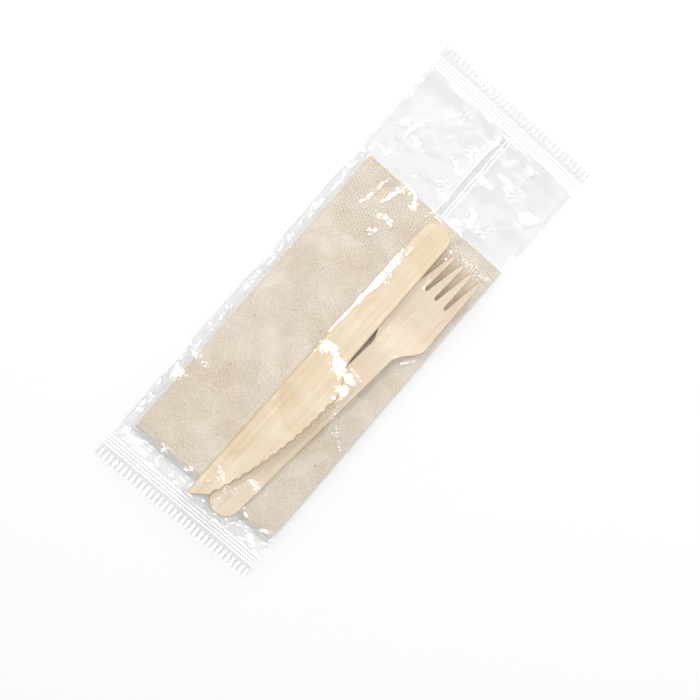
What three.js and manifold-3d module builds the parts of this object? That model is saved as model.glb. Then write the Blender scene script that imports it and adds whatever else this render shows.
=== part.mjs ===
import * as THREE from 'three';
import { mergeVertices } from 'three/addons/utils/BufferGeometryUtils.js';
import Module from 'manifold-3d';

const wasm = await Module();
wasm.setup();

// A clear film pouch that lies flat, with a folded napkin, a wooden fork and a wooden knife inside.
// Millimetres, +Z up. The pouch is centred on X and Y and rests on z = 0, its length along X.
// The fork's tines, the knife's handle and the long empty end of the pouch are at +X.

// Film of the pouch
const FILM = 0.04;
const CLEARANCE = 0.3;
const DRAPE_SLOPE = 1.7;
const LEAVE_SLOPE = 0.4;
const EMPTY_HEIGHT = 1.5;
const EDGE_HEIGHT = 0.9;
const EDGE_WAVE = 1.4;
const CREASE_WIDTH = 3.2;
const VENT_DIAMETER = 0.8;

// Seals of the pouch: four ribs along each end, then a comb of short ridges out to the cut edge
const SEAL_RIBS = 4;
const RIB_PITCH = 1.55;
const RIB_HEIGHT = 0.44;
const COMB_PITCH = 2.65;
const COMB_HEIGHT = 0.5;
const COMB_LENGTH = 5;
const NEAR_SEAL_HEIGHT = 2.6;
const FAR_SEAL_HEIGHT = 1;
const FIN_WIDTH = 6;
const FIN_OFFSET = -1;

// Room between the napkin and the pouch on its four sides
const NEAR_END_SLACK = 9.5;
const FAR_END_SLACK = 49.5;
const TIGHT_SIDE_SLACK = 2;
const LOOSE_SIDE_SLACK = 6;

// Folded napkin
const NAPKIN_LENGTH = 160;
const NAPKIN_WIDTH = 80;
const NAPKIN_LEAVES = 8;
const LEAF = 0.38;
const LEAF_SLIT = 0.08;
const LEAF_SLIT_DEPTH = 1.6;

// Pressed wood of the knife and fork
const VENEER = 1.5;
const WOOD_BEVEL = 0.25;

// Knife, measured from its tip and from its straight spine
const KNIFE_LENGTH = 165;
const KNIFE_TIP_INSET = 2.2;
const KNIFE_SIDE = 3.3;
const KNIFE_TURN = THREE.MathUtils.degToRad(-0.91);
const BLADE_WIDTH = 22.6;
const BLADE_LENGTH = 72.4;
const NOSE_LENGTH = 6;
const NOSE_WIDTH = 9;
const NOSE_RADIUS = 1.3;
const KNIFE_NECK = 94;
const KNIFE_NECK_WIDTH = 15.5;
const KNIFE_END_WIDTH = 14.7;
const KNIFE_END_RADIUS = 7;
const TOOTH_PITCH = 4.7;
const TOOTH_DEPTH = 0.6;

// Fork, measured from the end of its handle
const FORK_LENGTH = 157;
const FORK_INSET = 3;
const FORK_SIDE = -11.6;
const FORK_TURN = THREE.MathUtils.degToRad(-5.44);
const FORK_END_WIDTH = 15.8;
const FORK_NECK_WIDTH = 12.4;
const FORK_HEAD_WIDTH = 28;
const FORK_HEAD_LENGTH = 53.4;
const FORK_SHOULDER = 15;
const FORK_TIPS_WIDTH = 19;
const TINES = 4;
const TINE_LENGTH = 19.5;
const TINE_TIP_WIDTH = 2.3;
const SLOT_ROOT_WIDTH = 1.3;
const NECK_RISE = 2.2;
const HEAD_DISH = 0.8;
const TINE_RISE = 4;

// Sizes and places that follow from the ones above
const sealLength = SEAL_RIBS * RIB_PITCH + COMB_LENGTH;
const pouchLength = 2 * sealLength + NEAR_END_SLACK + NAPKIN_LENGTH + FAR_END_SLACK;
const pouchWidth = TIGHT_SIDE_SLACK + NAPKIN_WIDTH + LOOSE_SIDE_SLACK;
const halfWidth = pouchWidth / 2;
const nearSeal = -pouchLength / 2 + sealLength;
const farSeal = pouchLength / 2 - sealLength;
const napkinStart = nearSeal + NEAR_END_SLACK;
const napkinEnd = napkinStart + NAPKIN_LENGTH;
const napkinY = -halfWidth + TIGHT_SIDE_SLACK + NAPKIN_WIDTH / 2;
const finRecess = 2 * FILM + 0.05;
const napkinHeight = NAPKIN_LEAVES * LEAF;
const napkinBottom = FILM + finRecess + CLEARANCE;
const napkinTop = napkinBottom + napkinHeight;
const woodBottom = napkinTop + CLEARANCE;

const { lerp, clamp, smoothstep } = THREE.MathUtils;
const mix = (a, b, t) => lerp(a, b, clamp(t, 0, 1));

// Welded copy of a geometry: positions only, one vertex at each place
function welded(geometry) {
  const plain = geometry.clone();
  plain.deleteAttribute('uv');
  plain.deleteAttribute('normal');
  plain.clearGroups();
  return mergeVertices(plain, 1e-4);
}

function toSolid(geometry) {
  const plain = welded(geometry);
  const vertProperties = new Float32Array(plain.attributes.position.array);
  const triVerts = new Uint32Array(plain.index.array);
  return new wasm.Manifold(new wasm.Mesh({ numProp: 3, vertProperties, triVerts }));
}

function toGeometry(solid) {
  const { vertProperties, triVerts, numProp } = solid.getMesh();
  const geometry = new THREE.BufferGeometry();
  const positions = [];
  for (let i = 0; i < vertProperties.length; i += numProp) {
    positions.push(vertProperties[i], vertProperties[i + 1], vertProperties[i + 2]);
  }
  geometry.setAttribute('position', new THREE.Float32BufferAttribute(positions, 3));
  geometry.setIndex(Array.from(triVerts));
  geometry.computeVertexNormals();
  return geometry;
}

// Fork: half its width, and the height of its middle surface, at a place along and across it
const forkNeck = FORK_LENGTH - FORK_HEAD_LENGTH;
const forkCrest = forkNeck - 4;
const forkHead = forkNeck + FORK_SHOULDER;
const forkBowl = forkHead + 3;
const tipRadius = TINE_TIP_WIDTH / 2;
const tipStart = FORK_LENGTH - tipRadius;

function forkHalfWidth(s) {
  const round = FORK_END_WIDTH / 2;
  const handle = mix(FORK_END_WIDTH, FORK_NECK_WIDTH, s / forkNeck) / 2;
  const head = mix(FORK_HEAD_WIDTH, FORK_TIPS_WIDTH, (s - forkHead) / (tipStart - forkHead)) / 2;
  const half = lerp(handle, head, smoothstep(s, forkNeck, forkHead));
  return s < round ? half * Math.sqrt(1 - (1 - s / round) ** 2) : half;
}

function forkRise(s, t) {
  const across = (t / forkHalfWidth(s)) ** 2;
  const dish = HEAD_DISH * across * smoothstep(s, forkNeck, forkBowl) * (1 - smoothstep(s, forkBowl, FORK_LENGTH));
  if (s < forkCrest) return NECK_RISE * smoothstep(s, 0.3 * forkCrest, forkCrest) + dish;
  if (s < forkBowl) return NECK_RISE * (1 - smoothstep(s, forkCrest, forkBowl)) + dish;
  return TINE_RISE * ((s - forkBowl) / (FORK_LENGTH - forkBowl)) ** 1.8 + dish;
}

const forkX = nearSeal + FORK_INSET;
const forkY = napkinY + FORK_SIDE;
const toFork = (x, y) => new THREE.Vector2(x - forkX, y - forkY).rotateAround(new THREE.Vector2(), -FORK_TURN);

// Height of the fork's upper face over a place on the floor, with none where the fork isn't
function forkTop(x, y) {
  const p = toFork(x, y);
  if (p.x < 0.1 || p.x > FORK_LENGTH || Math.abs(p.y) > forkHalfWidth(p.x)) return -Infinity;
  return woodBottom + forkRise(p.x, p.y) + VENEER;
}

function buildFork() {
  const round = FORK_END_WIDTH / 2;
  const stations = [];
  for (let k = 1; k <= 6; k += 1) stations.push(round * (1 - Math.cos((k / 6) * (Math.PI / 2))));
  for (let k = 1; k <= 8; k += 1) stations.push(lerp(round, forkCrest, k / 8));
  for (let k = 1; k <= 11; k += 1) stations.push(lerp(forkCrest, forkBowl, k / 11));
  for (let k = 1; k <= 8; k += 1) stations.push(lerp(forkBowl, tipStart, k / 8));
  stations.push(FORK_LENGTH + 1);
  const across = 6;
  const plate = new THREE.BoxGeometry(1, 1, 1, stations.length - 1, across, 1);
  const points = plate.attributes.position;
  for (let i = 0; i < points.count; i += 1) {
    const s = stations[Math.round((points.getX(i) + 0.5) * (stations.length - 1))];
    const t = 2 * points.getY(i) * forkHalfWidth(s);
    const z = forkRise(s, t) + VENEER * (points.getZ(i) + 0.5);
    points.setXYZ(i, s, t, z);
  }
  // what is cut away at the tips: the slots between the tines and the corners around their round ends
  const pitch = (FORK_TIPS_WIDTH - TINE_TIP_WIDTH) / (TINES - 1);
  const slotRoot = FORK_LENGTH - TINE_LENGTH;
  const slotRadius = SLOT_ROOT_WIDTH / 2;
  const rootPitch = (2 * forkHalfWidth(slotRoot) + SLOT_ROOT_WIDTH) / TINES;
  const cut = new THREE.Shape();
  const beyond = FORK_LENGTH + 5;
  cut.moveTo(beyond, -FORK_HEAD_WIDTH);
  cut.lineTo(tipStart, -FORK_HEAD_WIDTH);
  for (let k = 0; k < TINES; k += 1) {
    const tip = (k - (TINES - 1) / 2) * pitch;
    cut.lineTo(tipStart, tip - tipRadius);
    cut.absarc(tipStart, tip, tipRadius, -Math.PI / 2, Math.PI / 2, false);
    if (k === TINES - 1) break;
    const slot = (k - (TINES - 2) / 2) * rootPitch;
    cut.lineTo(slotRoot + slotRadius, slot - slotRadius);
    cut.absarc(slotRoot + slotRadius, slot, slotRadius, -Math.PI / 2, Math.PI / 2, true);
  }
  cut.lineTo(tipStart, FORK_HEAD_WIDTH);
  cut.lineTo(beyond, FORK_HEAD_WIDTH);
  const depth = TINE_RISE + NECK_RISE + 4 * VENEER;
  const cutter = new THREE.ExtrudeGeometry(cut, { depth, bevelEnabled: false, curveSegments: 8 });
  cutter.translate(0, 0, -VENEER);
  const fork = toGeometry(toSolid(plate).subtract(toSolid(cutter)));
  fork.rotateZ(FORK_TURN);
  fork.translate(forkX, forkY, woodBottom);
  return fork;
}

// Knife: how far its lower edge is from its spine, at a place along it
function knifeDepth(u) {
  if (u < NOSE_LENGTH) return lerp(2 * NOSE_RADIUS, NOSE_WIDTH, u / NOSE_LENGTH);
  if (u < BLADE_LENGTH) {
    const back = (BLADE_LENGTH - u) / (BLADE_LENGTH - NOSE_LENGTH);
    return lerp(BLADE_WIDTH, NOSE_WIDTH, back ** 2);
  }
  if (u < KNIFE_NECK) return lerp(BLADE_WIDTH, KNIFE_NECK_WIDTH, smoothstep(u, BLADE_LENGTH, KNIFE_NECK));
  return mix(KNIFE_NECK_WIDTH, KNIFE_END_WIDTH, (u - KNIFE_NECK) / (KNIFE_LENGTH - KNIFE_NECK));
}

const knifeX = nearSeal + KNIFE_TIP_INSET;
const knifeY = napkinY + KNIFE_SIDE;
const toKnife = (x, y) => new THREE.Vector2(x - knifeX, y - knifeY).rotateAround(new THREE.Vector2(), -KNIFE_TURN);

// The knife's spine lies on the napkin and its lower edge on the fork: the least roll that clears the fork
function findKnifeRoll() {
  let roll = 0.1;
  for (let pass = 0; pass < 6; pass += 1) {
    let needed = 0;
    for (let u = 0; u <= KNIFE_LENGTH; u += 1.5) {
      for (let d = 1.5; d <= knifeDepth(u); d += 0.75) {
        const plan = new THREE.Vector2(u, -d * Math.cos(roll)).rotateAround(new THREE.Vector2(), KNIFE_TURN);
        const under = forkTop(knifeX + plan.x, knifeY + plan.y) + CLEARANCE - woodBottom;
        if (under > 0) needed = Math.max(needed, Math.asin(Math.min(under / d, 0.6)));
      }
    }
    roll = needed;
  }
  return roll + 0.01;
}

const knifeRoll = findKnifeRoll();

// Height of the knife's upper face over a place on the floor, with none where the knife isn't
function knifeTop(x, y) {
  const p = toKnife(x, y);
  const d = -p.y / Math.cos(knifeRoll);
  if (p.x < 0 || p.x > KNIFE_LENGTH || d < -0.4 || d > knifeDepth(p.x)) return -Infinity;
  return woodBottom + d * Math.sin(knifeRoll) + VENEER;
}

function buildKnife() {
  const outline = new THREE.Shape();
  const r = KNIFE_END_RADIUS;
  outline.moveTo(NOSE_RADIUS, 0);
  outline.absarc(NOSE_RADIUS, -NOSE_RADIUS, NOSE_RADIUS, Math.PI / 2, Math.PI * 1.18, false);
  outline.lineTo(NOSE_LENGTH, -knifeDepth(NOSE_LENGTH));
  const teeth = Math.floor((BLADE_LENGTH - NOSE_LENGTH) / TOOTH_PITCH);
  const pitch = (BLADE_LENGTH - NOSE_LENGTH) / teeth;
  for (let k = 0; k < teeth; k += 1) {
    const middle = NOSE_LENGTH + (k + 0.5) * pitch;
    const end = NOSE_LENGTH + (k + 1) * pitch;
    outline.quadraticCurveTo(middle, 2 * TOOTH_DEPTH - knifeDepth(middle), end, -knifeDepth(end));
  }
  const swell = (KNIFE_NECK - BLADE_LENGTH) / 2.6;
  const neck = [KNIFE_NECK - swell, -KNIFE_NECK_WIDTH, KNIFE_NECK, -KNIFE_NECK_WIDTH];
  outline.bezierCurveTo(BLADE_LENGTH + swell, -BLADE_WIDTH, ...neck);
  outline.lineTo(KNIFE_LENGTH - r, -KNIFE_END_WIDTH);
  outline.absarc(KNIFE_LENGTH - r, r - KNIFE_END_WIDTH, r, -Math.PI / 2, 0, false);
  outline.absarc(KNIFE_LENGTH - r, -r, r, 0, Math.PI / 2, false);
  const bevel = { bevelThickness: WOOD_BEVEL, bevelSize: WOOD_BEVEL, bevelOffset: -WOOD_BEVEL, bevelSegments: 1 };
  const depth = VENEER - 2 * WOOD_BEVEL;
  const knife = new THREE.ExtrudeGeometry(outline, { depth, ...bevel, bevelEnabled: true, curveSegments: 5 });
  knife.translate(0, 0, WOOD_BEVEL);
  knife.rotateX(-knifeRoll);
  knife.rotateZ(KNIFE_TURN);
  knife.translate(knifeX, knifeY, woodBottom);
  return toGeometry(toSolid(knife));
}

// Napkin: a round fold along its tight side and the edges of its leaves on the other three
function buildNapkin() {
  const half = NAPKIN_WIDTH / 2;
  const round = napkinHeight / 2;
  const section = new THREE.Shape();
  section.moveTo(half, 0);
  section.lineTo(half, napkinHeight);
  section.lineTo(round - half, napkinHeight);
  section.absarc(round - half, round, round, Math.PI / 2, Math.PI * 1.5, false);
  const body = new THREE.ExtrudeGeometry(section, { depth: NAPKIN_LENGTH, bevelEnabled: false, curveSegments: 10 });
  const turn = new THREE.Matrix4();
  turn.makeBasis(new THREE.Vector3(0, 1, 0), new THREE.Vector3(0, 0, 1), new THREE.Vector3(1, 0, 0));
  body.applyMatrix4(turn);
  let napkin = toSolid(body);
  const reach = NAPKIN_WIDTH - napkinHeight;
  for (let k = 1; k < NAPKIN_LEAVES; k += 1) {
    const frame = new THREE.Shape();
    frame.moveTo(-1, half + 1);
    frame.lineTo(-1, half - reach);
    frame.lineTo(LEAF_SLIT_DEPTH, half - reach);
    frame.lineTo(LEAF_SLIT_DEPTH, half - LEAF_SLIT_DEPTH);
    frame.lineTo(NAPKIN_LENGTH - LEAF_SLIT_DEPTH, half - LEAF_SLIT_DEPTH);
    frame.lineTo(NAPKIN_LENGTH - LEAF_SLIT_DEPTH, half - reach);
    frame.lineTo(NAPKIN_LENGTH + 1, half - reach);
    frame.lineTo(NAPKIN_LENGTH + 1, half + 1);
    const slit = new THREE.ExtrudeGeometry(frame, { depth: LEAF_SLIT, bevelEnabled: false });
    slit.translate(0, 0, k * LEAF - LEAF_SLIT / 2);
    napkin = napkin.subtract(toSolid(slit));
  }
  const geometry = toGeometry(napkin);
  geometry.translate(napkinStart, napkinY, napkinBottom);
  return geometry;
}

function napkinTopAt(x, y) {
  const inside = x >= napkinStart && x <= napkinEnd && Math.abs(y - napkinY) <= NAPKIN_WIDTH / 2;
  return inside ? napkinTop : -Infinity;
}

const contentTop = (x, y) => Math.max(napkinTopAt(x, y), forkTop(x, y), knifeTop(x, y));

// Creases of the empty end: from and to, as shares of its length and of the half width, and a height
const CREASES = [
  [0.46, -0.7, 0.66, -0.95, 1.2],
  [0.72, -0.2, 0.6, -0.52, 1],
  [0.52, -0.08, 0.54, -0.34, 0.8],
  [0.38, -0.04, 0.48, 0.24, 0.9],
  [0.56, 0.03, 0.68, 0.14, 0.7],
  [0.28, 0.76, 0.58, 0.64, 1],
  [0.12, 0.88, 0.18, 0.68, 0.9],
  [0.18, 0.05, 0.28, 0.16, 0.6],
  [0.42, -0.25, 0.38, -0.62, 0.6],
  [0.74, -0.08, 0.92, -0.3, 1.6],
  [0.66, 0.3, 0.86, 0.5, 0.8],
];

function creaseHeight(x, y) {
  const place = new THREE.Vector3(x, y, 0);
  const nearest = new THREE.Vector3();
  let height = 0;
  for (const [a, b, c, d, rise] of CREASES) {
    const from = new THREE.Vector3(lerp(napkinEnd, farSeal, a), b * halfWidth, 0);
    const to = new THREE.Vector3(lerp(napkinEnd, farSeal, c), d * halfWidth, 0);
    new THREE.Line3(from, to).closestPointToPoint(place, true, nearest);
    height = Math.max(height, rise * Math.exp(-((nearest.distanceTo(place) / CREASE_WIDTH) ** 2)));
  }
  return height;
}

// Rows across the pouch: close together at its two folded sides and over the cutlery, apart over the bare napkin
function acrossRows() {
  const low = -halfWidth + TIGHT_SIDE_SLACK - CLEARANCE;
  const spine = knifeY + CLEARANCE;
  const high = halfWidth - LOOSE_SIDE_SLACK + CLEARANCE;
  const covered = 16;
  const bare = 4;
  const rows = [-halfWidth];
  for (let j = 0; j <= covered; j += 1) rows.push(lerp(low, spine, j / covered));
  const foot = spine + 3;
  for (let j = 0; j <= bare; j += 1) rows.push(lerp(foot, high, j / bare));
  rows.push(halfWidth - LOOSE_SIDE_SLACK / 2.2, halfWidth);
  return rows;
}

// Stations along the pouch between its two seals: close together past the cutlery's ends and over the empty part
function alongStations() {
  const lip = 0.3;
  const first = nearSeal + Math.min(KNIFE_TIP_INSET, FORK_INSET) - CLEARANCE;
  const stations = [nearSeal, nearSeal + lip, first];
  const forkTips = forkX + FORK_LENGTH * Math.cos(FORK_TURN) + CLEARANCE;
  const knifeEnd = knifeX + KNIFE_LENGTH * Math.cos(KNIFE_TURN) + CLEARANCE;
  const steps = [[napkinStart, 3], [forkTips, 24], [knifeEnd, 2], [Math.max(napkinEnd, knifeEnd + 1), 1], [farSeal - 4, 12]];
  let from = first;
  for (const [to, count] of steps) {
    for (let k = 1; k <= count; k += 1) stations.push(lerp(from, to, k / count));
    from = to;
  }
  stations.push(farSeal - lip, farSeal);
  return stations;
}

const sealHeight = (x) => lerp(NEAR_SEAL_HEIGHT, FAR_SEAL_HEIGHT, smoothstep(x, nearSeal, farSeal));
const nearLift = (x) => 1 - smoothstep(x, nearSeal, napkinStart - 0.5);
const farLift = (x) => smoothstep(x, farSeal - 12, farSeal);
const emptyFade = (x) => 1 - smoothstep(x, farSeal - 6, farSeal);
const lift = (x) => NEAR_SEAL_HEIGHT * nearLift(x) + FAR_SEAL_HEIGHT * farLift(x);
const edgeHeight = (x) => Math.max(EDGE_HEIGHT, lift(x));

// The loose side of the pouch runs in and out a little between the seals
function looseEdge(x) {
  const along = clamp((x - nearSeal) / (farSeal - nearSeal), 0, 1);
  const wave = Math.sin(7.3 * Math.PI * along) * Math.sin(3.1 * Math.PI * along);
  return EDGE_WAVE * wave * wave * Math.sin(Math.PI * along) ** 0.5;
}

// Film laid over the contents: above them everywhere, and falling from them no steeper than the drape.
// Past the napkin's end it leaves more gently, pulled towards the empty end.
function drape(stations, rows) {
  const z = stations.map(() => rows.map(() => 0));
  const samples = Array.from({ length: 17 }, (_, k) => k / 16);
  for (let i = 2; i < stations.length - 2; i += 1) {
    for (let j = 1; j < rows.length - 1; j += 1) {
      let top = 0;
      for (const a of samples) {
        for (const b of samples) {
          const x = lerp(stations[i - 1], stations[i + 1], a);
          const y = lerp(rows[j - 1], rows[j + 1], b);
          top = Math.max(top, contentTop(x, y));
        }
      }
      z[i][j] = Math.max(top + CLEARANCE + FILM, lift(stations[i]) + EMPTY_HEIGHT * emptyFade(stations[i]));
    }
  }
  for (let pass = 0; pass < 24; pass += 1) {
    for (let i = 2; i < stations.length - 2; i += 1) {
      for (let j = 1; j < rows.length - 1; j += 1) {
        for (const [di, dj] of [[1, 0], [-1, 0], [0, 1], [0, -1]]) {
          const away = Math.hypot(stations[i + di] - stations[i], rows[j + dj] - rows[j]);
          const slope = stations[i] > napkinEnd ? LEAVE_SLOPE : DRAPE_SLOPE;
          z[i][j] = Math.max(z[i][j], z[i + di][j + dj] - slope * away);
        }
      }
    }
  }
  const taper = (x) => smoothstep(x, napkinEnd, napkinEnd + 6) * emptyFade(x);
  stations.forEach((x, i) => {
    rows.forEach((y, j) => {
      const rim = j === 0 || j === rows.length - 1;
      const lipped = i < 2 || i > stations.length - 3;
      if (lipped) z[i][j] = lift(x) + FILM + (i === 0 || i === stations.length - 1 ? 0 : 0.06);
      else if (rim) z[i][j] = edgeHeight(x) + FILM;
      else z[i][j] += creaseHeight(x, y) * taper(x);
    });
  });
  return z;
}

// A closed body lofted through stations, each with a top row and a bottom row of points from -Y to +Y.
// The two rows are joined up alike, so a thin body keeps its thickness where it twists.
function loft(stations) {
  const positions = [];
  const index = [];
  const add = (p) => positions.push(p.x, p.y, p.z) / 3 - 1;
  const rows = stations.map(({ top, bottom }) => ({ top: top.map(add), bottom: bottom.map(add) }));
  const yOf = (v) => positions[3 * v + 1];
  const zip = (a, b, secondFirst = false) => {
    let i = 0;
    let j = 0;
    while (i < a.length - 1 || j < b.length - 1) {
      const nextA = i < a.length - 1 ? yOf(a[i + 1]) : Infinity;
      const nextB = j < b.length - 1 ? yOf(b[j + 1]) : Infinity;
      if (nextA < nextB || (nextA === nextB && !secondFirst)) {
        index.push(a[i], b[j], a[i + 1]);
        i += 1;
      } else {
        index.push(a[i], b[j], b[j + 1]);
        j += 1;
      }
    }
  };
  for (let k = 0; k < rows.length - 1; k += 1) {
    const a = rows[k];
    const b = rows[k + 1];
    zip(a.top, b.top);
    zip(b.bottom, a.bottom, true);
    index.push(a.top[0], a.bottom[0], b.bottom[0], a.top[0], b.bottom[0], b.top[0]);
    const [at, ab, bt, bb] = [a.top, a.bottom, b.top, b.bottom].map((row) => row[row.length - 1]);
    index.push(at, bb, ab, at, bt, bb);
  }
  zip(rows[0].bottom, rows[0].top);
  zip(rows[rows.length - 1].top, rows[rows.length - 1].bottom);
  const geometry = new THREE.BufferGeometry();
  geometry.setAttribute('position', new THREE.Float32BufferAttribute(positions, 3));
  geometry.setIndex(index);
  return geometry;
}

const point = (x, y, z) => new THREE.Vector3(x, y, z);

// Rows of the underside between its folded sides, each with its rise over the fin
const finEnd = FIN_OFFSET - FIN_WIDTH;
const UNDER_ROWS = [
  [-halfWidth + 1.1, 0],
  [-halfWidth + 5, 0],
  [finEnd - 1.1, 0],
  [finEnd - 0.5, finRecess],
  [FIN_OFFSET + 0.5, finRecess],
  [FIN_OFFSET + 1.1, 0],
  [halfWidth - LOOSE_SIDE_SLACK, 0],
  [halfWidth - 2.6, 0],
];

// A station of a seal: two layers of film welded together, at a height that may change across it
function sealStation(x, topRows, bottomRows, height) {
  return {
    top: topRows.map((y, j) => point(x, y, height(j) + FILM)),
    bottom: bottomRows.map((y, j) => point(x, y, height(j) - FILM)),
  };
}

// Stations of one end seal, outwards from its inner line
function sealStations(inner, outward, height, rows) {
  const stations = [];
  const underRows = [-halfWidth, ...UNDER_ROWS.map(([y]) => y), halfWidth];
  for (let k = 0; k < 2 * SEAL_RIBS; k += 1) {
    const wave = (k % 2 === 0 ? 1 : -1) * (RIB_HEIGHT / 2);
    const x = inner + outward * (k + 0.5) * (RIB_PITCH / 2);
    stations.push(sealStation(x, rows, underRows, () => height + wave));
  }
  const combStart = inner + outward * SEAL_RIBS * RIB_PITCH;
  const count = 2 * Math.round(pouchWidth / COMB_PITCH);
  const teeth = [];
  for (let j = 0; j <= count; j += 1) teeth.push(lerp(-halfWidth, halfWidth, j / count));
  stations.push(sealStation(combStart, teeth, teeth, () => height));
  const zigzag = (j) => height + (j % 2 === 0 ? 1 : -1) * (COMB_HEIGHT / 2);
  stations.push(sealStation(combStart + outward * 0.6, teeth, teeth, zigzag));
  stations.push(sealStation(combStart + outward * COMB_LENGTH, teeth, teeth, zigzag));
  return stations;
}

function buildPouch() {
  const along = alongStations();
  const rows = acrossRows();
  const z = drape(along, rows);
  const last = along.length - 1;
  const shifted = (x, j) => {
    if (j < rows.length - 2) return rows[j];
    return rows[j] - looseEdge(x) * (j === rows.length - 1 ? 1 : 0.45);
  };
  // the underside lies on the floor, is raised over the fin and lifts to the seals at both ends
  const settled = (x) => (1 - nearLift(x)) * (1 - farLift(x));
  const under = (x, raised) => {
    const lipped = x < along[1] + 1e-6 || x > along[last - 1] - 1e-6;
    if (lipped) return lift(x) - FILM - (x > along[0] + 1e-6 && x < along[last] - 1e-6 ? 0.06 : 0);
    return Math.max(lift(x) - FILM - 0.3, 0) + raised * settled(x);
  };
  const outerStation = (x, i) => {
    const top = rows.map((y, j) => point(x, shifted(x, j), z[i][j]));
    const edge = (i < 2 || i > last - 2 ? lift(x) : edgeHeight(x)) - FILM;
    const bottom = [point(x, -halfWidth, edge)];
    UNDER_ROWS.forEach(([y, raised]) => bottom.push(point(x, y, under(x, raised))));
    bottom.push(point(x, shifted(x, rows.length - 1), edge));
    return { top, bottom };
  };
  // the hollow is the outer surface moved in by the film, more upright where the film is steep
  const inset = 0.12;
  const innerStation = (x, i) => {
    const top = rows.map((y, j) => {
      const rim = j === 0 || j === rows.length - 1;
      if (rim) return point(x, shifted(x, j) + (j === 0 ? inset : -inset), z[i][j] - FILM + 0.02);
      const before = (z[i][j] - z[i - 1][j]) / (along[i] - along[i - 1]);
      const after = i < last ? (z[i + 1][j] - z[i][j]) / (along[i + 1] - along[i]) : 0;
      const left = (z[i][j] - z[i][j - 1]) / (rows[j] - rows[j - 1]);
      const right = (z[i][j + 1] - z[i][j]) / (rows[j + 1] - rows[j]);
      const steep = Math.max(Math.abs(before), Math.abs(after), Math.abs(left), Math.abs(right));
      const lipped = i === 1 || i === last - 1;
      return point(x, shifted(x, j), z[i][j] - FILM * (lipped ? 1 : Math.min(Math.hypot(1, steep), 3)));
    });
    const outer = outerStation(x, i).bottom;
    const bottom = outer.map((p, j) => {
      const rim = j === 0 || j === outer.length - 1;
      if (rim) return point(x, p.y + (j === 0 ? inset : -inset), p.z + FILM - 0.02);
      return point(x, p.y, p.z + FILM);
    });
    return { top, bottom };
  };
  const near = sealStations(nearSeal, -1, lift(nearSeal), rows).reverse();
  const far = sealStations(farSeal, 1, lift(farSeal), rows);
  const outer = loft([...near, ...along.map(outerStation), ...far]);
  const hollow = loft(along.slice(1, last).map((x, i) => innerStation(x, i + 1)));
  // the fin seal hangs from its root line along the middle and lies flat under the pouch
  const finLength = farSeal - nearSeal - 26;
  const finProfile = new THREE.Shape();
  finProfile.moveTo(finEnd, 0);
  finProfile.lineTo(FIN_OFFSET, 0);
  finProfile.lineTo(FIN_OFFSET, finRecess + FILM / 2);
  finProfile.lineTo(FIN_OFFSET - 2 * FILM, finRecess + FILM / 2);
  finProfile.lineTo(FIN_OFFSET - 2 * FILM, 2 * FILM);
  finProfile.lineTo(finEnd, 2 * FILM);
  const fin = new THREE.ExtrudeGeometry(finProfile, { depth: finLength, bevelEnabled: false });
  const turn = new THREE.Matrix4();
  turn.makeBasis(new THREE.Vector3(0, 1, 0), new THREE.Vector3(0, 0, 1), new THREE.Vector3(1, 0, 0));
  fin.applyMatrix4(turn);
  fin.translate(nearSeal + 12, 0, 0);
  // pin-hole that lets the air out when packs are stacked
  const vent = new THREE.CylinderGeometry(VENT_DIAMETER / 2, VENT_DIAMETER / 2, 0.5, 10);
  vent.rotateX(Math.PI / 2);
  vent.translate(lerp(napkinEnd, farSeal, 0.4), halfWidth * 0.5, 0);
  const film = toSolid(outer).add(toSolid(fin)).subtract(toSolid(hollow)).subtract(toSolid(vent));
  return toGeometry(film);
}

const pack = new THREE.Group();
function addPart(name, geometry, look) {
  const mesh = new THREE.Mesh(geometry, new THREE.MeshStandardMaterial({ metalness: 0, ...look }));
  mesh.name = name;
  pack.add(mesh);
}

addPart('napkin', buildNapkin(), { color: 0xd9cbb6, roughness: 0.95 });
addPart('fork', buildFork(), { color: 0xecd8bd, roughness: 0.62 });
addPart('knife', buildKnife(), { color: 0xefd9b4, roughness: 0.62 });
addPart('film_pouch', buildPouch(), { color: 0xf3f6f7, roughness: 0.08, transparent: true, opacity: 0.25 });

export default pack;
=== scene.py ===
"""Looks of a sealed cutlery pack: a clear film pouch round a napkin, a wooden fork and a wooden knife.

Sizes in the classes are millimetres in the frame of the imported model; meshes are written in metres.
"""
import logging
import math
from dataclasses import dataclass, field
from enum import Enum
from typing import Callable, Sequence

import bpy
import numpy as np
from mathutils import Matrix, Vector
from mathutils.geometry import delaunay_2d_cdt


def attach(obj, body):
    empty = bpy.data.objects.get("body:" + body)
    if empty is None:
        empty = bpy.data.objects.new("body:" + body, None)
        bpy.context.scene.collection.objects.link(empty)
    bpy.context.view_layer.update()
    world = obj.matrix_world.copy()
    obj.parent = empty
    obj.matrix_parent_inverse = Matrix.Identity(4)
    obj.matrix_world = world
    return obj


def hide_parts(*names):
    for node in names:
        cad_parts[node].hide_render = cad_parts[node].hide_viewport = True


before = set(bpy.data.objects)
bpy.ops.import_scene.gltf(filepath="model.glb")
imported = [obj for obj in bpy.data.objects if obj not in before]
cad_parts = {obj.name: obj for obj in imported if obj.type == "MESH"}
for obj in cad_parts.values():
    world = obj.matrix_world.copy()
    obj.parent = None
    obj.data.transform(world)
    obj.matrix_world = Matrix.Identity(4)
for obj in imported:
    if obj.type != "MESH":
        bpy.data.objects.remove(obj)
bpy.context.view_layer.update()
MM = 0.001
log = logging.getLogger("cutlery_pack")

Array = np.ndarray
Socket = bpy.types.NodeSocket
Colour = tuple[float, float, float]
Place = tuple[float, float, float]
Point = tuple[float, float]
Top = Callable[[Array, Array], Array]

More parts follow.
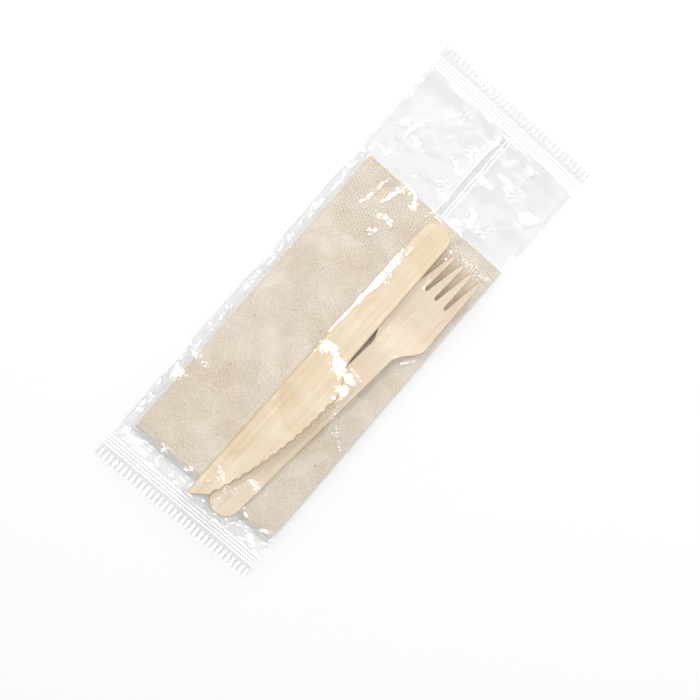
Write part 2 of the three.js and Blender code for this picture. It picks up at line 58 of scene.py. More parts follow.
# Height, far below the floor, that stands for nothing being there.
NOWHERE = -99.0
WHITE = (1.0, 1.0, 1.0, 1.0)
TO_MM = (1000.0, 1000.0, 1000.0)
FORK_TURN = -5.44
KNIFE_TURN = -0.91
# Rise of the knife's upper face across the pack, which comes from its roll.
KNIFE_SLOPE = -0.257


class Slot(Enum):
    """Material slots of the record."""

    FILM = "clear_film"
    TISSUE = "brown_tissue"
    KNIFE = "knife_wood"
    FORK = "fork_wood"


class SocketKind(Enum):
    """Kinds of socket on a node group."""

    VALUE = "NodeSocketFloat"
    VECTOR = "NodeSocketVector"
    SHAPE = "NodeSocketGeometry"
    MATERIAL = "NodeSocketMaterial"


class LampTask(Enum):
    """What a lamp is hung for: to light the pack, or to be mirrored in its film."""

    LIGHT = "light"
    GLINT = "glint"


class Lean(Enum):
    """Ways that taut film leans, each by its rise along the pack and its rise across it."""

    SPINE = (-0.0064, -0.4)
    NOSE = (0.0, KNIFE_SLOPE)
    NOSE_SIDE = (-0.4, KNIFE_SLOPE)
    BLADE_ROOT = (-0.2, KNIFE_SLOPE)
    NEAR = (0.6, -0.1)
    FAR = (-0.6, 0.0)
    FAR_CORNER = (-0.58, 0.0)
    SIDE = (0.0, -0.4)


def smoothstep(x: Array | float, low: float, high: float) -> Array:
    """Smooth step from 0 at low to 1 at high."""
    t = np.clip((np.asarray(x, float) - low) / (high - low), 0.0, 1.0)
    return t * t * (3.0 - 2.0 * t)


def between(a: Array | float, b: Array | float, t: Array | float) -> Array:
    """Straight blend from a to b, held at both ends."""
    return a + (b - a) * np.clip(t, 0.0, 1.0)


def linear(red: int, green: int, blue: int) -> Colour:
    """Linear colour of a screen colour given in 0 to 255."""
    def one(v: int) -> float:
        """Linear value of one channel."""
        c = v / 255.0
        return c / 12.92 if c <= 0.04045 else ((c + 0.055) / 1.055) ** 2.4
    return one(red), one(green), one(blue)


class Graph:
    """A node tree with short calls for adding and joining its nodes."""

    def __init__(self, tree: bpy.types.NodeTree) -> None:
        """Keeps the tree that nodes are added to."""
        self.tree = tree

    def add(self, kind: str, values: dict | None = None, **settings: object) -> bpy.types.Node:
        """Adds one node.

        Args:
            kind: Blender's name of the node type.
            values: Input name or number to a value, or to the socket that feeds it.
            settings: Properties of the node itself.

        Returns:
            The new node.
        """
        node = self.tree.nodes.new(kind)
        for name, value in settings.items():
            setattr(node, name, value)
        for key, value in (values or {}).items():
            if isinstance(value, bpy.types.NodeSocket):
                self.tree.links.new(value, node.inputs[key])
            else:
                node.inputs[key].default_value = value
        return node

    def maths(self, operation: str, *values: object, clamp: bool = False) -> Socket:
        """Output of a Math node with these inputs, in order."""
        node = self.add("ShaderNodeMath", dict(enumerate(values)), operation=operation, use_clamp=clamp)
        return node.outputs[0]

    def ramp(self, value: Socket, low: float, high: float, start: float = 0.0, end: float = 1.0) -> Socket:
        """Smooth ramp of a value from start at low to end at high."""
        numbers = {"Value": value, "From Min": low, "From Max": high, "To Min": start, "To Max": end}
        return self.add("ShaderNodeMapRange", numbers, interpolation_type="SMOOTHSTEP").outputs[0]

    def mix(self, share: object, a: object, b: object) -> Socket:
        """Colour mixed from a to b by a share."""
        node = self.add("ShaderNodeMix", data_type="RGBA")
        for index, value in ((0, share), (6, a), (7, b)):
            if isinstance(value, bpy.types.NodeSocket):
                self.tree.links.new(value, node.inputs[index])
            elif index == 0:
                node.inputs[index].default_value = value
            else:
                node.inputs[index].default_value = (*value, 1.0)
        return node.outputs[2]

    def noise(
        self, vector: Socket, scale: float, detail: float = 3.0, rough: float = 0.5, warp: float = 0.0
    ) -> Socket:
        """Value of a noise texture at a place."""
        numbers = {"Vector": vector, "Scale": scale, "Detail": detail, "Roughness": rough, "Distortion": warp}
        return self.add("ShaderNodeTexNoise", numbers).outputs[0]

    def scaled(self, vector: Socket, scale: Sequence[float], turn: float = 0.0, shift: float = 0.0) -> Socket:
        """Vector turned about Z, then scaled along each axis."""
        turned = self.add("ShaderNodeMapping", {"Vector": vector, "Rotation": (0.0, 0.0, turn)})
        numbers = {"Vector": turned.outputs[0], "Scale": scale, "Location": (shift, shift, shift)}
        return self.add("ShaderNodeMapping", numbers).outputs[0]

    def mark(self, name: str) -> Socket:
        """Value of one of the mesh's marks, for a shader."""
        return self.add("ShaderNodeAttribute", attribute_name=name).outputs["Fac"]

    def blend(self, share: Socket, a: bpy.types.Node, b: bpy.types.Node) -> bpy.types.Node:
        """Shader mixed from a to b by a share."""
        return self.add("ShaderNodeMixShader", {0: share, 1: a.outputs[0], 2: b.outputs[0]})

    def move_and_dress(self, geometry: Socket, offset: Socket, finish: Socket) -> None:
        """Ends a geometry tree: moves the points by an offset and gives the mesh its finish."""
        moved = self.add("GeometryNodeSetPosition", {"Geometry": geometry, "Offset": offset})
        real = self.add("GeometryNodeRealizeInstances", {"Geometry": moved.outputs[0]})
        dressed = self.add("GeometryNodeSetMaterial", {"Geometry": real.outputs[0], "Material": finish})
        self.add("NodeGroupOutput", {"Geometry": dressed.outputs[0]})


def new_group(name: str, kind: str, inputs: dict[str, SocketKind], outputs: dict[str, SocketKind]) -> Graph:
    """Makes an empty node group with named sockets.

    Args:
        name: Name of the group.
        kind: ShaderNodeTree or GeometryNodeTree.
        inputs: Input names and their kinds.
        outputs: Output names and their kinds.

    Returns:
        The group's graph.
    """
    tree = bpy.data.node_groups.new(name, kind)
    for label, socket in inputs.items():
        tree.interface.new_socket(label, in_out="INPUT", socket_type=socket.value)
    for label, socket in outputs.items():
        tree.interface.new_socket(label, in_out="OUTPUT", socket_type=socket.value)
    return Graph(tree)


def run_nodes(piece: bpy.types.Object, graph: Graph, values: dict[str, object]) -> None:
    """Runs a geometry tree on a piece and keeps the result as its plain mesh.

    Args:
        piece: Object whose mesh goes into the tree.
        graph: Geometry tree to run.
        values: Named inputs of the tree.
    """
    modifier = piece.modifiers.new(graph.tree.name, "NODES")
    modifier.node_group = graph.tree
    for item in graph.tree.interface.items_tree:
        if item.in_out == "INPUT" and item.name in values:
            modifier[item.identifier] = values[item.name]
    seen = piece.evaluated_get(bpy.context.evaluated_depsgraph_get())
    mesh = bpy.data.meshes.new_from_object(seen)
    piece.modifiers.remove(modifier)
    old = piece.data
    piece.data = mesh
    bpy.data.meshes.remove(old)
    mesh.name = piece.name


class MeshMaker:
    """Collects points and faces of one piece, in millimetres."""

    def __init__(self) -> None:
        """Starts with no points and no faces."""
        self.points: list[Array] = []
        self.faces: list[tuple[int, ...]] = []
        self.marks: dict[str, list[Array]] = {}
        self.count = 0

    def add(self, points: Array, **marks: Array) -> Array:
        """Adds points with their marks.

        Args:
            points: Rows of x, y, z, in any grid shape.
            marks: One value for each point, kept as an attribute of the mesh.

        Returns:
            The points' numbers, in the same grid shape.
        """
        flat = np.asarray(points, float).reshape(-1, 3)
        numbers = np.arange(self.count, self.count + len(flat)).reshape(np.shape(points)[:-1])
        for name in set(self.marks) | set(marks):
            values = marks.get(name, np.zeros(len(flat)))
            missing = self.count - sum(len(v) for v in self.marks.get(name, []))
            kept = self.marks.setdefault(name, [])
            if missing:
                kept.append(np.zeros(missing))
            kept.append(np.asarray(values, float).ravel())
        self.points.append(flat)
        self.count += len(flat)
        return numbers

    def grid(self, numbers: Array, flip: bool = False) -> None:
        """Adds the four-sided faces of a grid of point numbers, facing +Z for rows along x then y."""
        a, b = numbers[:-1, :-1].ravel(), numbers[1:, :-1].ravel()
        c, d = numbers[1:, 1:].ravel(), numbers[:-1, 1:].ravel()
        quads = np.stack((a, b, c, d), 1)
        self.faces.extend(map(tuple, (quads[:, ::-1] if flip else quads).tolist()))

    def strip(self, first: Array, second: Array) -> None:
        """Adds the faces between two rows of the same number of points."""
        self.grid(np.stack((np.asarray(first), np.asarray(second))))

    def sleeve(self, top: Array, low: Array) -> None:
        """Adds an upper and a lower face and the sides between them, open at both ends."""
        self.grid(top)
        self.grid(low, flip=True)
        self.strip(low[:, -1], top[:, -1])
        self.strip(top[:, 0], low[:, 0])

    def slab(self, top: Array, low: Array) -> None:
        """Adds a sleeve with its ends closed."""
        self.sleeve(top, low)
        self.strip(low[0], top[0])
        self.strip(top[-1], low[-1])

    def piece(self, name: str, material: bpy.types.Material) -> bpy.types.Object:
        """Makes the object, smooth, in metres, with its place in its mesh.

        Args:
            name: Name of the piece.
            material: Its finish.

        Returns:
            The object, linked to the scene.
        """
        mesh = bpy.data.meshes.new(name)
        mesh.from_pydata((np.concatenate(self.points) * MM).tolist(), [], self.faces)
        for label, values in self.marks.items():
            attribute = mesh.attributes.new(label, "FLOAT", "POINT")
            attribute.data.foreach_set("value", np.concatenate(values))
        mesh.polygons.foreach_set("use_smooth", np.ones(len(mesh.polygons), bool))
        mesh.materials.append(material)
        mesh.validate()
        made = bpy.data.objects.new(name, mesh)
        bpy.context.scene.collection.objects.link(made)
        return made


def arc(cx: float, cy: float, radius: float, start: float, end: float, steps: int) -> list[Point]:
    """Points of an arc, angles in degrees, both ends included."""
    angles = np.radians(np.linspace(start, end, steps + 1))
    return [(cx + radius * math.cos(a), cy + radius * math.sin(a)) for a in angles]


def even_loop(points: Sequence[Point], step: float) -> Array:
    """Closed outline with its long runs divided into steps."""
    out: list[Point] = []
    for (x0, y0), (x1, y1) in zip(points, list(points[1:]) + [points[0]]):
        length = math.hypot(x1 - x0, y1 - y0)
        if length < 1e-6:
            continue
        parts = max(1, int(math.ceil(length / step)))
        out.extend((x0 + (x1 - x0) * k / parts, y0 + (y1 - y0) * k / parts) for k in range(parts))
    return np.array(out)


def inset_loop(loop: Array, depth: float) -> Array:
    """Outline moved inwards by a depth; the loop runs anticlockwise."""
    ahead = np.roll(loop, -1, 0) - loop
    ahead /= np.linalg.norm(ahead, axis=1)[:, None]
    behind = np.roll(ahead, 1, 0)
    way = ahead + behind
    way /= np.maximum(np.linalg.norm(way, axis=1), 1e-6)[:, None]
    widen = 1.0 / np.maximum((way * ahead).sum(1), 0.7)
    return loop + np.stack((-way[:, 1], way[:, 0]), 1) * (depth * widen)[:, None]


def inside_loop(loop: Array, points: Array, margin: float) -> Array:
    """Which points lie inside an outline, at least a margin from its corners."""
    x, y = points[:, :1], points[:, 1:]
    x0, y0 = loop[:, 0], loop[:, 1]
    x1, y1 = np.roll(x0, -1), np.roll(y0, -1)
    rise = np.where(y1 == y0, 1e-9, y1 - y0)
    crossed = ((y0 > y) != (y1 > y)) & (x < (x1 - x0) * (y - y0) / rise + x0)
    near = np.min((x - x0) ** 2 + (y - y0) ** 2, axis=1) < margin * margin
    return (crossed.sum(1) % 2 == 1) & ~near


@dataclass(frozen=True)
class RimRing:
    """A line round the rim of a pressed plate: how far in, how far from the face, and how much its colour is
    darkened, partly for the darker cut edge and partly as painted shade of the contact line.
    """

    inset: float
    height: float
    cut_edge_and_shade: float


# The rim's lines from the lower face to half its height; the upper half mirrors them.
RIM = (RimRing(0.55, 0.0, 0.0), RimRing(0.28, 0.0, 0.35), RimRing(0.08, 0.09, 1.0), RimRing(0.0, 0.3, 1.0))
FACE_STEP = 1.25
FACE_MARGIN = 0.75


def face_dots(edge: Array) -> Array:
    """Points in staggered rows inside the edge of a plate's face."""
    low, high = edge.min(0), edge.max(0)
    columns = np.arange(low[0], high[0], FACE_STEP)
    rows = np.arange(low[1], high[1], FACE_STEP * 0.87)
    xs, ys = np.meshgrid(columns, rows, indexing="ij")
    xs = xs + np.where(np.arange(len(rows)) % 2, FACE_STEP / 2, 0.0)
    dots = np.stack((xs.ravel(), ys.ravel()), 1)
    return dots[inside_loop(edge, dots, FACE_MARGIN)]


def pressed_plate(maker: MeshMaker, loop: Array, thick: float, lift: Callable[[Array, Array], Array]) -> None:
    """Adds a plate of pressed veneer with rounded rims and a fine mesh on both faces.

    Args:
        maker: Mesh that takes the points, in the plate's own frame.
        loop: Outline, anticlockwise.
        thick: Thickness of the plate.
        lift: Maps plan points and heights within the plate to places.
    """
    rings = [*RIM, *(RimRing(ring.inset, thick - ring.height, ring.cut_edge_and_shade) for ring in reversed(RIM))]
    rows = []
    for ring in rings:
        plan = inset_loop(loop, ring.inset)
        places = lift(plan, np.full(len(plan), ring.height))
        # The rim mark darkens the rims' colour: a darker cut edge plus painted contact shade.
        rows.append(maker.add(places, rim=np.full(len(plan), ring.cut_edge_and_shade)))
    for first, second in zip(rows, rows[1:]):
        maker.strip(np.append(second, second[0]), np.append(first, first[0]))
    edge = inset_loop(loop, RIM[0].inset)
    dots = face_dots(edge)
    plan = np.concatenate((edge, dots))
    corners = list(range(len(edge)))
    found = delaunay_2d_cdt([Vector(p) for p in plan], [], [corners], 1, 1e-7)
    source = [ids[0] for ids in found[3]]
    for height, row, flip in ((0.0, rows[0], True), (thick, rows[-1], False)):
        inner = maker.add(lift(dots, np.full(len(dots), height)))
        numbers = np.concatenate((row, inner))
        for face in found[2]:
            corner = tuple(int(numbers[source[k]]) for k in face)
            maker.faces.append(corner[::-1] if flip else corner)


def turned(points: Array, degrees: float, place: Sequence[float]) -> Array:
    """Points turned about Z, then moved to a place."""
    a = math.radians(degrees)
    x = points[..., 0] * math.cos(a) - points[..., 1] * math.sin(a)
    y = points[..., 0] * math.sin(a) + points[..., 1] * math.cos(a)
    return np.stack((x + place[0], y + place[1], points[..., 2] + place[2]), -1)


def own_frame(x: Array, y: Array, degrees: float, place: Sequence[float]) -> tuple[Array, Array]:
    """Places on the floor seen in a piece's own frame."""
    a = math.radians(-degrees)
    dx, dy = x - place[0], y - place[1]
    return dx * math.cos(a) - dy * math.sin(a), dx * math.sin(a) + dy * math.cos(a)


class Effects:
    """Shader groups that more than one finish uses, each built once."""

    _made: dict[str, bpy.types.NodeTree] = {}

    @staticmethod
    def start(name: str, outputs: Sequence[str]) -> tuple[Graph, Socket]:
        """Starts a group that is read at a place and puts out values.

        Args:
            name: Name of the group.
            outputs: Names of the values.

        Returns:
            The group's graph, and the place scaled by the group's fineness.
        """
        kinds = {"Vector": SocketKind.VECTOR, "Fineness": SocketKind.VALUE}
        g = new_group(name, "ShaderNodeTree", kinds, {label: SocketKind.VALUE for label in outputs})
        given = g.add("NodeGroupInput").outputs
        at = g.add("ShaderNodeVectorMath", {0: given["Vector"]}, operation="SCALE")
        g.tree.links.new(given["Fineness"], at.inputs["Scale"])
        return g, at.outputs[0]

    @classmethod
    def grain(cls) -> bpy.types.NodeTree:
        """Group for lengthwise wood grain, read along X in millimetres.

        Returns:
            A group that puts out fine fibre, broad figure and short dark pores.
        """
        if "grain" not in cls._made:
            g, place = cls.start("lengthwise_grain", ("Fibre", "Figure", "Pores"))
            fibre = g.noise(g.scaled(place, (0.04, 3.2, 3.2)), 1.0, 5.0, 0.62)
            strand = g.noise(g.scaled(place, (0.014, 0.75, 0.75), shift=7.0), 1.0, 3.0, 0.55)
            figure = g.noise(g.scaled(place, (0.011, 0.16, 0.16), shift=3.0), 1.0, 2.0, 0.5, 0.6)
            pores = g.noise(g.scaled(place, (0.22, 5.5, 5.5), shift=11.0), 1.0, 1.0, 0.4)
            both = g.maths("ADD", g.maths("MULTIPLY", fibre, 0.6), g.maths("MULTIPLY", strand, 0.4))
            g.add("NodeGroupOutput", {
                "Fibre": g.ramp(both, 0.38, 0.62),
                "Figure": g.ramp(figure, 0.3, 0.7),
                "Pores": g.ramp(pores, 0.66, 0.78),
            })
            cls._made["grain"] = g.tree
        return cls._made["grain"]

    @classmethod
    def mottle(cls) -> bpy.types.NodeTree:
        """Group for soft uneven colour and specks, read in millimetres.

        Returns:
            A group that puts out broad clouds, fine speckle and rare flecks.
        """
        if "mottle" not in cls._made:
            g, place = cls.start("soft_mottle", ("Clouds", "Speckle", "Flecks"))
            clouds = g.noise(place, 0.09, 3.0, 0.55, 0.4)
            speckle = g.noise(place, 1.7, 4.0, 0.65)
            flecks = g.add("ShaderNodeTexVoronoi", {"Vector": place, "Scale": 0.16, "Randomness": 1.0})
            g.add("NodeGroupOutput", {
                "Clouds": g.ramp(clouds, 0.3, 0.7),
                "Speckle": g.ramp(speckle, 0.36, 0.64),
                "Flecks": g.ramp(flecks.outputs["Distance"], 0.035, 0.075, 1.0, 0.0),
            })
            cls._made["mottle"] = g.tree
        return cls._made["mottle"]


def with_effect(g: Graph, tree: bpy.types.NodeTree, vector: Socket, fineness: float) -> dict[str, Socket]:
    """Adds a group node, then sets its inputs, which exist only once it has its tree.

    Args:
        g: Graph that takes the node.
        tree: The effect's group.
        vector: Place at which it is read.
        fineness: Scale of the effect.

    Returns:
        The node's outputs, by name.
    """
    node = g.add("ShaderNodeGroup", node_tree=tree)
    g.tree.links.new(vector, node.inputs["Vector"])
    node.inputs["Fineness"].default_value = fineness
    return dict(node.outputs.items())


def new_material(name: str) -> tuple[bpy.types.Material, Graph]:
    """A material with an empty node tree, and its graph."""
    material = bpy.data.materials.new(name)
    material.use_nodes = True
    material.node_tree.nodes.clear()
    return material, Graph(material.node_tree)


@dataclass(frozen=True)
class WoodFinish:
    """Pressed pale veneer with its grain along the piece."""

    name: str
    light: Colour
    dark: Colour
    turn: float
    shift: float = 0.0
    cloud: Colour = linear(226, 196, 150)
    pore: Colour = linear(190, 150, 104)
    # Rim colour: a darker cut edge plus painted shade of the contact line along it.
    cut_edge_and_shade: Colour = linear(164, 126, 86)
    least_dark: float = 0.08
    figure_share: float = 0.3
    fibre_share: float = 0.46
    cloud_share: float = 0.16
    pore_share: float = 0.22
    cut_edge_and_shade_share: float = 0.62
    cloud_fineness: float = 0.7
    roughness: tuple[float, float] = (0.52, 0.7)
    fibre_depth: float = 0.00012

    def material(self) -> bpy.types.Material:
        """Builds the finish."""
        material, g = new_material(self.name)
        spot = g.add("ShaderNodeTexCoord").outputs["Object"]
        place = g.scaled(spot, TO_MM, math.radians(-self.turn), self.shift)
        grain = with_effect(g, Effects.grain(), place, 1.0)
        mottle = with_effect(g, Effects.mottle(), place, self.cloud_fineness)
        fibre = grain["Fibre"]
        share = g.maths("MULTIPLY_ADD", grain["Figure"], self.figure_share, self.least_dark)
        share = g.maths("MULTIPLY_ADD", fibre, self.fibre_share, share)
        base = g.mix(share, self.light, self.dark)
        base = g.mix(g.maths("MULTIPLY", mottle["Clouds"], self.cloud_share), base, self.cloud)
        base = g.mix(g.maths("MULTIPLY", grain["Pores"], self.pore_share), base, self.pore)
        # Rims darkened: partly the darker cut edge, partly painted contact shade.
        base = g.mix(g.maths("MULTIPLY", g.mark("rim"), self.cut_edge_and_shade_share), base, self.cut_edge_and_shade)
        rough = g.ramp(fibre, 0.0, 1.0, *self.roughness)
        bump = g.add("ShaderNodeBump", {"Strength": 0.35, "Distance": self.fibre_depth, "Height": fibre})
        shine = g.add("ShaderNodeBsdfPrincipled", {
            "Base Color": base, "Roughness": rough, "Normal": bump.outputs[0],
            "IOR": 1.45, "Specular IOR Level": 0.2,
        })
        g.add("ShaderNodeOutputMaterial", {"Surface": shine.outputs[0]})
        return material


@dataclass(frozen=True)
class TissueFinish:
    """Soft unbleached tissue with fibres and specks, painted shade of crumpled facets, and embossed dots with
    painted shade in their pits.
    """

    name: str = "brown_tissue"
    light: Colour = linear(253, 244, 230)
    dark: Colour = linear(220, 203, 182)
    strand: Colour = linear(236, 226, 213)
    fleck: Colour = linear(120, 96, 74)
    # Colour in the embossed pits: painted shade in the recesses.
    pressed: Colour = linear(150, 128, 106)
    least_light: float = -0.12
    speckle_share: float = 0.8
    cloud_share: float = 0.25
    # Cell-by-cell tone of crumpled facets: painted shade of their tilts.
    crumple_shade_share: float = 0.36
    crumple_shade_scale: tuple[float, float, float] = (0.075, 0.12, 0.1)
    crumple_shade_turn: float = 0.6
    strand_share: float = 0.22
    fleck_share: float = 0.75
    pit_shade_share: float = 0.4
    strand_height: float = 0.5
    fold_height: float = 2.2
    depth: float = 0.00015
    roughness: tuple[float, float] = (0.88, 0.98)

    def material(self) -> bpy.types.Material:
        """Builds the finish."""
        material, g = new_material(self.name)
        spot = g.add("ShaderNodeTexCoord").outputs["Object"]
        place = g.scaled(spot, TO_MM)
        mottle = with_effect(g, Effects.mottle(), place, 1.0)
        speckle = mottle["Speckle"]

        def lines(noise: Socket, width: float) -> Socket:
            """Thin lines where a noise passes its middle."""
            return g.ramp(g.maths("ABSOLUTE", g.maths("SUBTRACT", noise, 0.5)), 0.0, width, 1.0, 0.0)

        strands = lines(g.noise(place, 0.75, 2.0, 0.5, 1.2), 0.025)
        folds = lines(g.noise(place, 0.055, 2.0, 0.5, 1.5), 0.05)
        # Painted shade of crumpled facets: each cell a little lighter or darker.
        crumple_shade = g.add("ShaderNodeTexVoronoi", {
            "Vector": g.scaled(place, self.crumple_shade_scale, self.crumple_shade_turn), "Scale": 1.0, "Smoothness": 0.2,
        }, feature="SMOOTH_F1").outputs["Color"]
        share = g.maths("MULTIPLY_ADD", speckle, self.speckle_share, self.least_light)
        share = g.maths("MULTIPLY_ADD", mottle["Clouds"], self.cloud_share, share)
        share = g.maths("MULTIPLY_ADD", crumple_shade, self.crumple_shade_share, share)
        base = g.mix(share, self.dark, self.light)
        base = g.mix(g.maths("MULTIPLY", strands, self.strand_share), base, self.strand)
        base = g.mix(g.maths("MULTIPLY", mottle["Flecks"], self.fleck_share), base, self.fleck)
        # Painted shade in the embossed pits.
        base = g.mix(g.maths("MULTIPLY", g.mark("pit"), self.pit_shade_share), base, self.pressed)
        height = g.maths("MULTIPLY", folds, self.fold_height)
        height = g.maths("MULTIPLY_ADD", strands, self.strand_height, height)
        height = g.maths("ADD", speckle, height)
        bump = g.add("ShaderNodeBump", {"Strength": 0.5, "Distance": self.depth, "Height": height})
        rough = g.ramp(speckle, 0.0, 1.0, *self.roughness)
        shine = g.add("ShaderNodeBsdfPrincipled", {
            "Base Color": base, "Roughness": rough, "Normal": bump.outputs[0], "Specular IOR Level": 0.05,
        })
        g.add("ShaderNodeOutputMaterial", {"Surface": shine.outputs[0]})
        return material


@dataclass(frozen=True)
class FilmFinish:
    """Thin clear film: see-through, with one sharp reflection from each layer, pale crease lines and painted
    shade on its steep faces, seen by the camera only.
    """

    name: str = "clear_film"
    tint: Colour = (0.988, 0.989, 0.99)
    # See-through colour on steep faces, stronger at welds: painted shade, seen by the camera only.
    steep_face_shade: Colour = (0.7, 0.71, 0.725)
    weld_tint: Colour = (0.958, 0.96, 0.963)
    touch_tint: Colour = (0.955, 0.915, 0.85)
    milk: Colour = (0.93, 0.94, 0.96)
    milk_roughness: float = 0.3
    milk_ior: float = 1.5
    ior: float = 1.6
    roughness: float = 0.07
    haze: float = 0.005
    crease_haze: float = 0.03
    steep_from: tuple[float, float] = (0.12, 0.55)
    steep_face_shade_share: float = 0.2
    weld_steep_shade_share: float = 0.35

    def material(self) -> bpy.types.Material:
        """Builds the finish."""
        material, g = new_material(self.name)
        path = g.add("ShaderNodeLightPath").outputs
        weld = g.mark("weld")
        facing = g.add("ShaderNodeLayerWeight", {"Blend": 0.5}).outputs["Facing"]
        # Painted shade on steep faces, for camera rays only.
        lean = g.maths("MULTIPLY", g.ramp(facing, *self.steep_from), path["Is Camera Ray"])
        steep = g.maths("MULTIPLY", g.maths("MULTIPLY_ADD", weld, self.weld_steep_shade_share, self.steep_face_shade_share), lean)
        through = g.mix(weld, self.tint, self.weld_tint)
        through = g.mix(g.mark("touch"), through, self.touch_tint)
        through = g.mix(steep, through, self.steep_face_shade)
        clear = g.add("ShaderNodeBsdfTransparent", {"Color": through})
        mirror = g.add("ShaderNodeBsdfAnisotropic", {"Color": WHITE, "Roughness": self.roughness})
        milk = g.add("ShaderNodeBsdfPrincipled", {
            "Base Color": (*self.milk, 1.0), "Roughness": self.milk_roughness, "IOR": self.milk_ior,
        })
        scatter = g.maths("MULTIPLY_ADD", g.mark("crease"), self.crease_haze, self.haze)
        behind = g.add("ShaderNodeNewGeometry").outputs["Backfacing"]
        front = g.maths("SUBTRACT", 1.0, g.maths("MAXIMUM", behind, path["Is Shadow Ray"]))
        glance = g.add("ShaderNodeFresnel", {"IOR": self.ior}).outputs[0]
        body = g.blend(g.maths("MULTIPLY", scatter, front), clear, milk)
        skin = g.blend(g.maths("MULTIPLY", glance, front), body, mirror)
        g.add("ShaderNodeOutputMaterial", {"Surface": skin.outputs[0]})
        return material


@dataclass(frozen=True)
class FloorFinish:
    """White sweep that shows white to the camera and keeps the pack's shadow."""

    name: str = "white_sweep"
    paper: float = 0.78
    lift: float = 0.175

    def material(self) -> bpy.types.Material:
        """Builds the finish."""
        material, g = new_material(self.name)
        path = g.add("ShaderNodeLightPath").outputs
        mirrored = g.maths("MAXIMUM", path["Is Glossy Ray"], path["Is Transmission Ray"])
        seen = g.maths("MAXIMUM", path["Is Camera Ray"], mirrored)
        paper = g.add("ShaderNodeBsdfDiffuse", {"Color": (self.paper, self.paper, self.paper, 1.0)})
        glow = g.add("ShaderNodeEmission", {"Color": WHITE, "Strength": g.maths("MULTIPLY", seen, self.lift)})
        both = g.add("ShaderNodeAddShader", {0: paper.outputs[0], 1: glow.outputs[0]})
        g.add("ShaderNodeOutputMaterial", {"Surface": both.outputs[0]})
        return material


@dataclass
class Fork:
    """Pressed wooden fork: flat handle, raised neck, dished head and four tines."""

    length: float = 157.0
    end_width: float = 15.8
    neck_width: float = 12.4
    head_width: float = 28.0
    head_length: float = 53.4
    shoulder: float = 15.0
    tips_width: float = 19.0
    tines: int = 4
    tine_length: float = 19.5
    tip_width: float = 2.3
    slot_width: float = 1.3
    neck_rise: float = 2.2
    head_dish: float = 0.8
    tine_rise: float = 4.0
    tine_curve: float = 1.8
    crest_before: float = 4.0
    bowl_past: float = 3.0
    flat_share: float = 0.3
    veneer: float = 1.5
    outline_step: float = 1.1
    turn: float = FORK_TURN
    place: Place = (-106.5, -13.6, 3.81)
    finish: WoodFinish = WoodFinish(
        "fork_wood", light=linear(254, 242, 222), dark=linear(239, 217, 191), turn=FORK_TURN, shift=40.0
    )

    @property
    def neck(self) -> float:
        """Where the handle ends and the head begins."""
        return self.length - self.head_length

    @property
    def tip_start(self) -> float:
        """Where the round ends of the tines begin."""
        return self.length - self.tip_width / 2

    def half_width(self, s: Array) -> Array:
        """Half the fork's width at distances from its handle's end."""
        s = np.asarray(s, float)
        round_end = self.end_width / 2
        head_start = self.neck + self.shoulder
        handle = between(self.end_width, self.neck_width, s / self.neck) / 2
        head = between(self.head_width, self.tips_width, (s - head_start) / (self.tip_start - head_start)) / 2
        half = handle + (head - handle) * smoothstep(s, self.neck, head_start)
        cap = np.sqrt(np.clip(1.0 - (1.0 - s / round_end) ** 2, 0.0, 1.0))
        return np.where(s < round_end, half * cap, half)

    def rise(self, s: Array, t: Array) -> Array:
        """Height of the lower face at places along and across the fork."""
        crest = self.neck - self.crest_before
        bowl = self.neck + self.shoulder + self.bowl_past
        across = (t / np.maximum(self.half_width(s), 0.5)) ** 2
        bowed = smoothstep(s, self.neck, bowl) * (1.0 - smoothstep(s, bowl, self.length))
        dish = self.head_dish * np.minimum(across, 1.0) * bowed
        up = self.neck_rise * smoothstep(s, self.flat_share * crest, crest)
        down = self.neck_rise * (1.0 - smoothstep(s, crest, bowl))
        tip = self.tine_rise * np.clip((s - bowl) / (self.length - bowl), 0.0, 1.0) ** self.tine_curve
        return np.where(s < crest, up, np.where(s < bowl, down, tip)) + dish

    def outline(self) -> Array:
        """Outline of the fork, anticlockwise, with its slots."""
        cap = self.end_width / 2 * (1.0 - np.cos(np.linspace(0.0, math.pi / 2, 16)))
        along = np.concatenate((cap, np.arange(self.end_width / 2 + 1.0, self.tip_start, 1.0)))
        half = self.half_width(along)
        low = [(float(s), -float(h)) for s, h in zip(along, half)]
        high = [(float(s), float(h)) for s, h in zip(along, half)][:0:-1]
        radius = self.tip_width / 2
        pitch = (self.tips_width - self.tip_width) / (self.tines - 1)
        root = self.length - self.tine_length
        hollow = self.slot_width / 2
        root_pitch = (2 * float(self.half_width(root)) + self.slot_width) / self.tines
        tips: list[Point] = []
        for k in range(self.tines):
            tips += arc(self.tip_start, (k - (self.tines - 1) / 2) * pitch, radius, -90, 90, 10)
            if k < self.tines - 1:
                tips += arc(root + hollow, (k - (self.tines - 2) / 2) * root_pitch, hollow, 270, 90, 8)
        return even_loop(low + tips + high, self.outline_step)

    def top_at(self, x: Array, y: Array) -> Array:
        """Height of the fork's upper face over places on the floor, very low where there is none."""
        s, t = own_frame(x, y, self.turn, self.place)
        on = (s > 0.0) & (s < self.length) & (np.abs(t) <= self.half_width(s))
        return np.where(on, self.place[2] + self.rise(s, t) + self.veneer, NOWHERE)

    def build(self) -> bpy.types.Object:
        """Builds and dresses the fork."""
        maker = MeshMaker()

        def lift(plan: Array, height: Array) -> Array:
            """Plan points bent to the pressed shape and laid in place."""
            flat = np.stack((plan[:, 0], plan[:, 1], self.rise(plan[:, 0], plan[:, 1]) + height), 1)
            return turned(flat, self.turn, self.place)

        pressed_plate(maker, self.outline(), self.veneer, lift)
        return maker.piece("wooden_fork", self.finish.material())


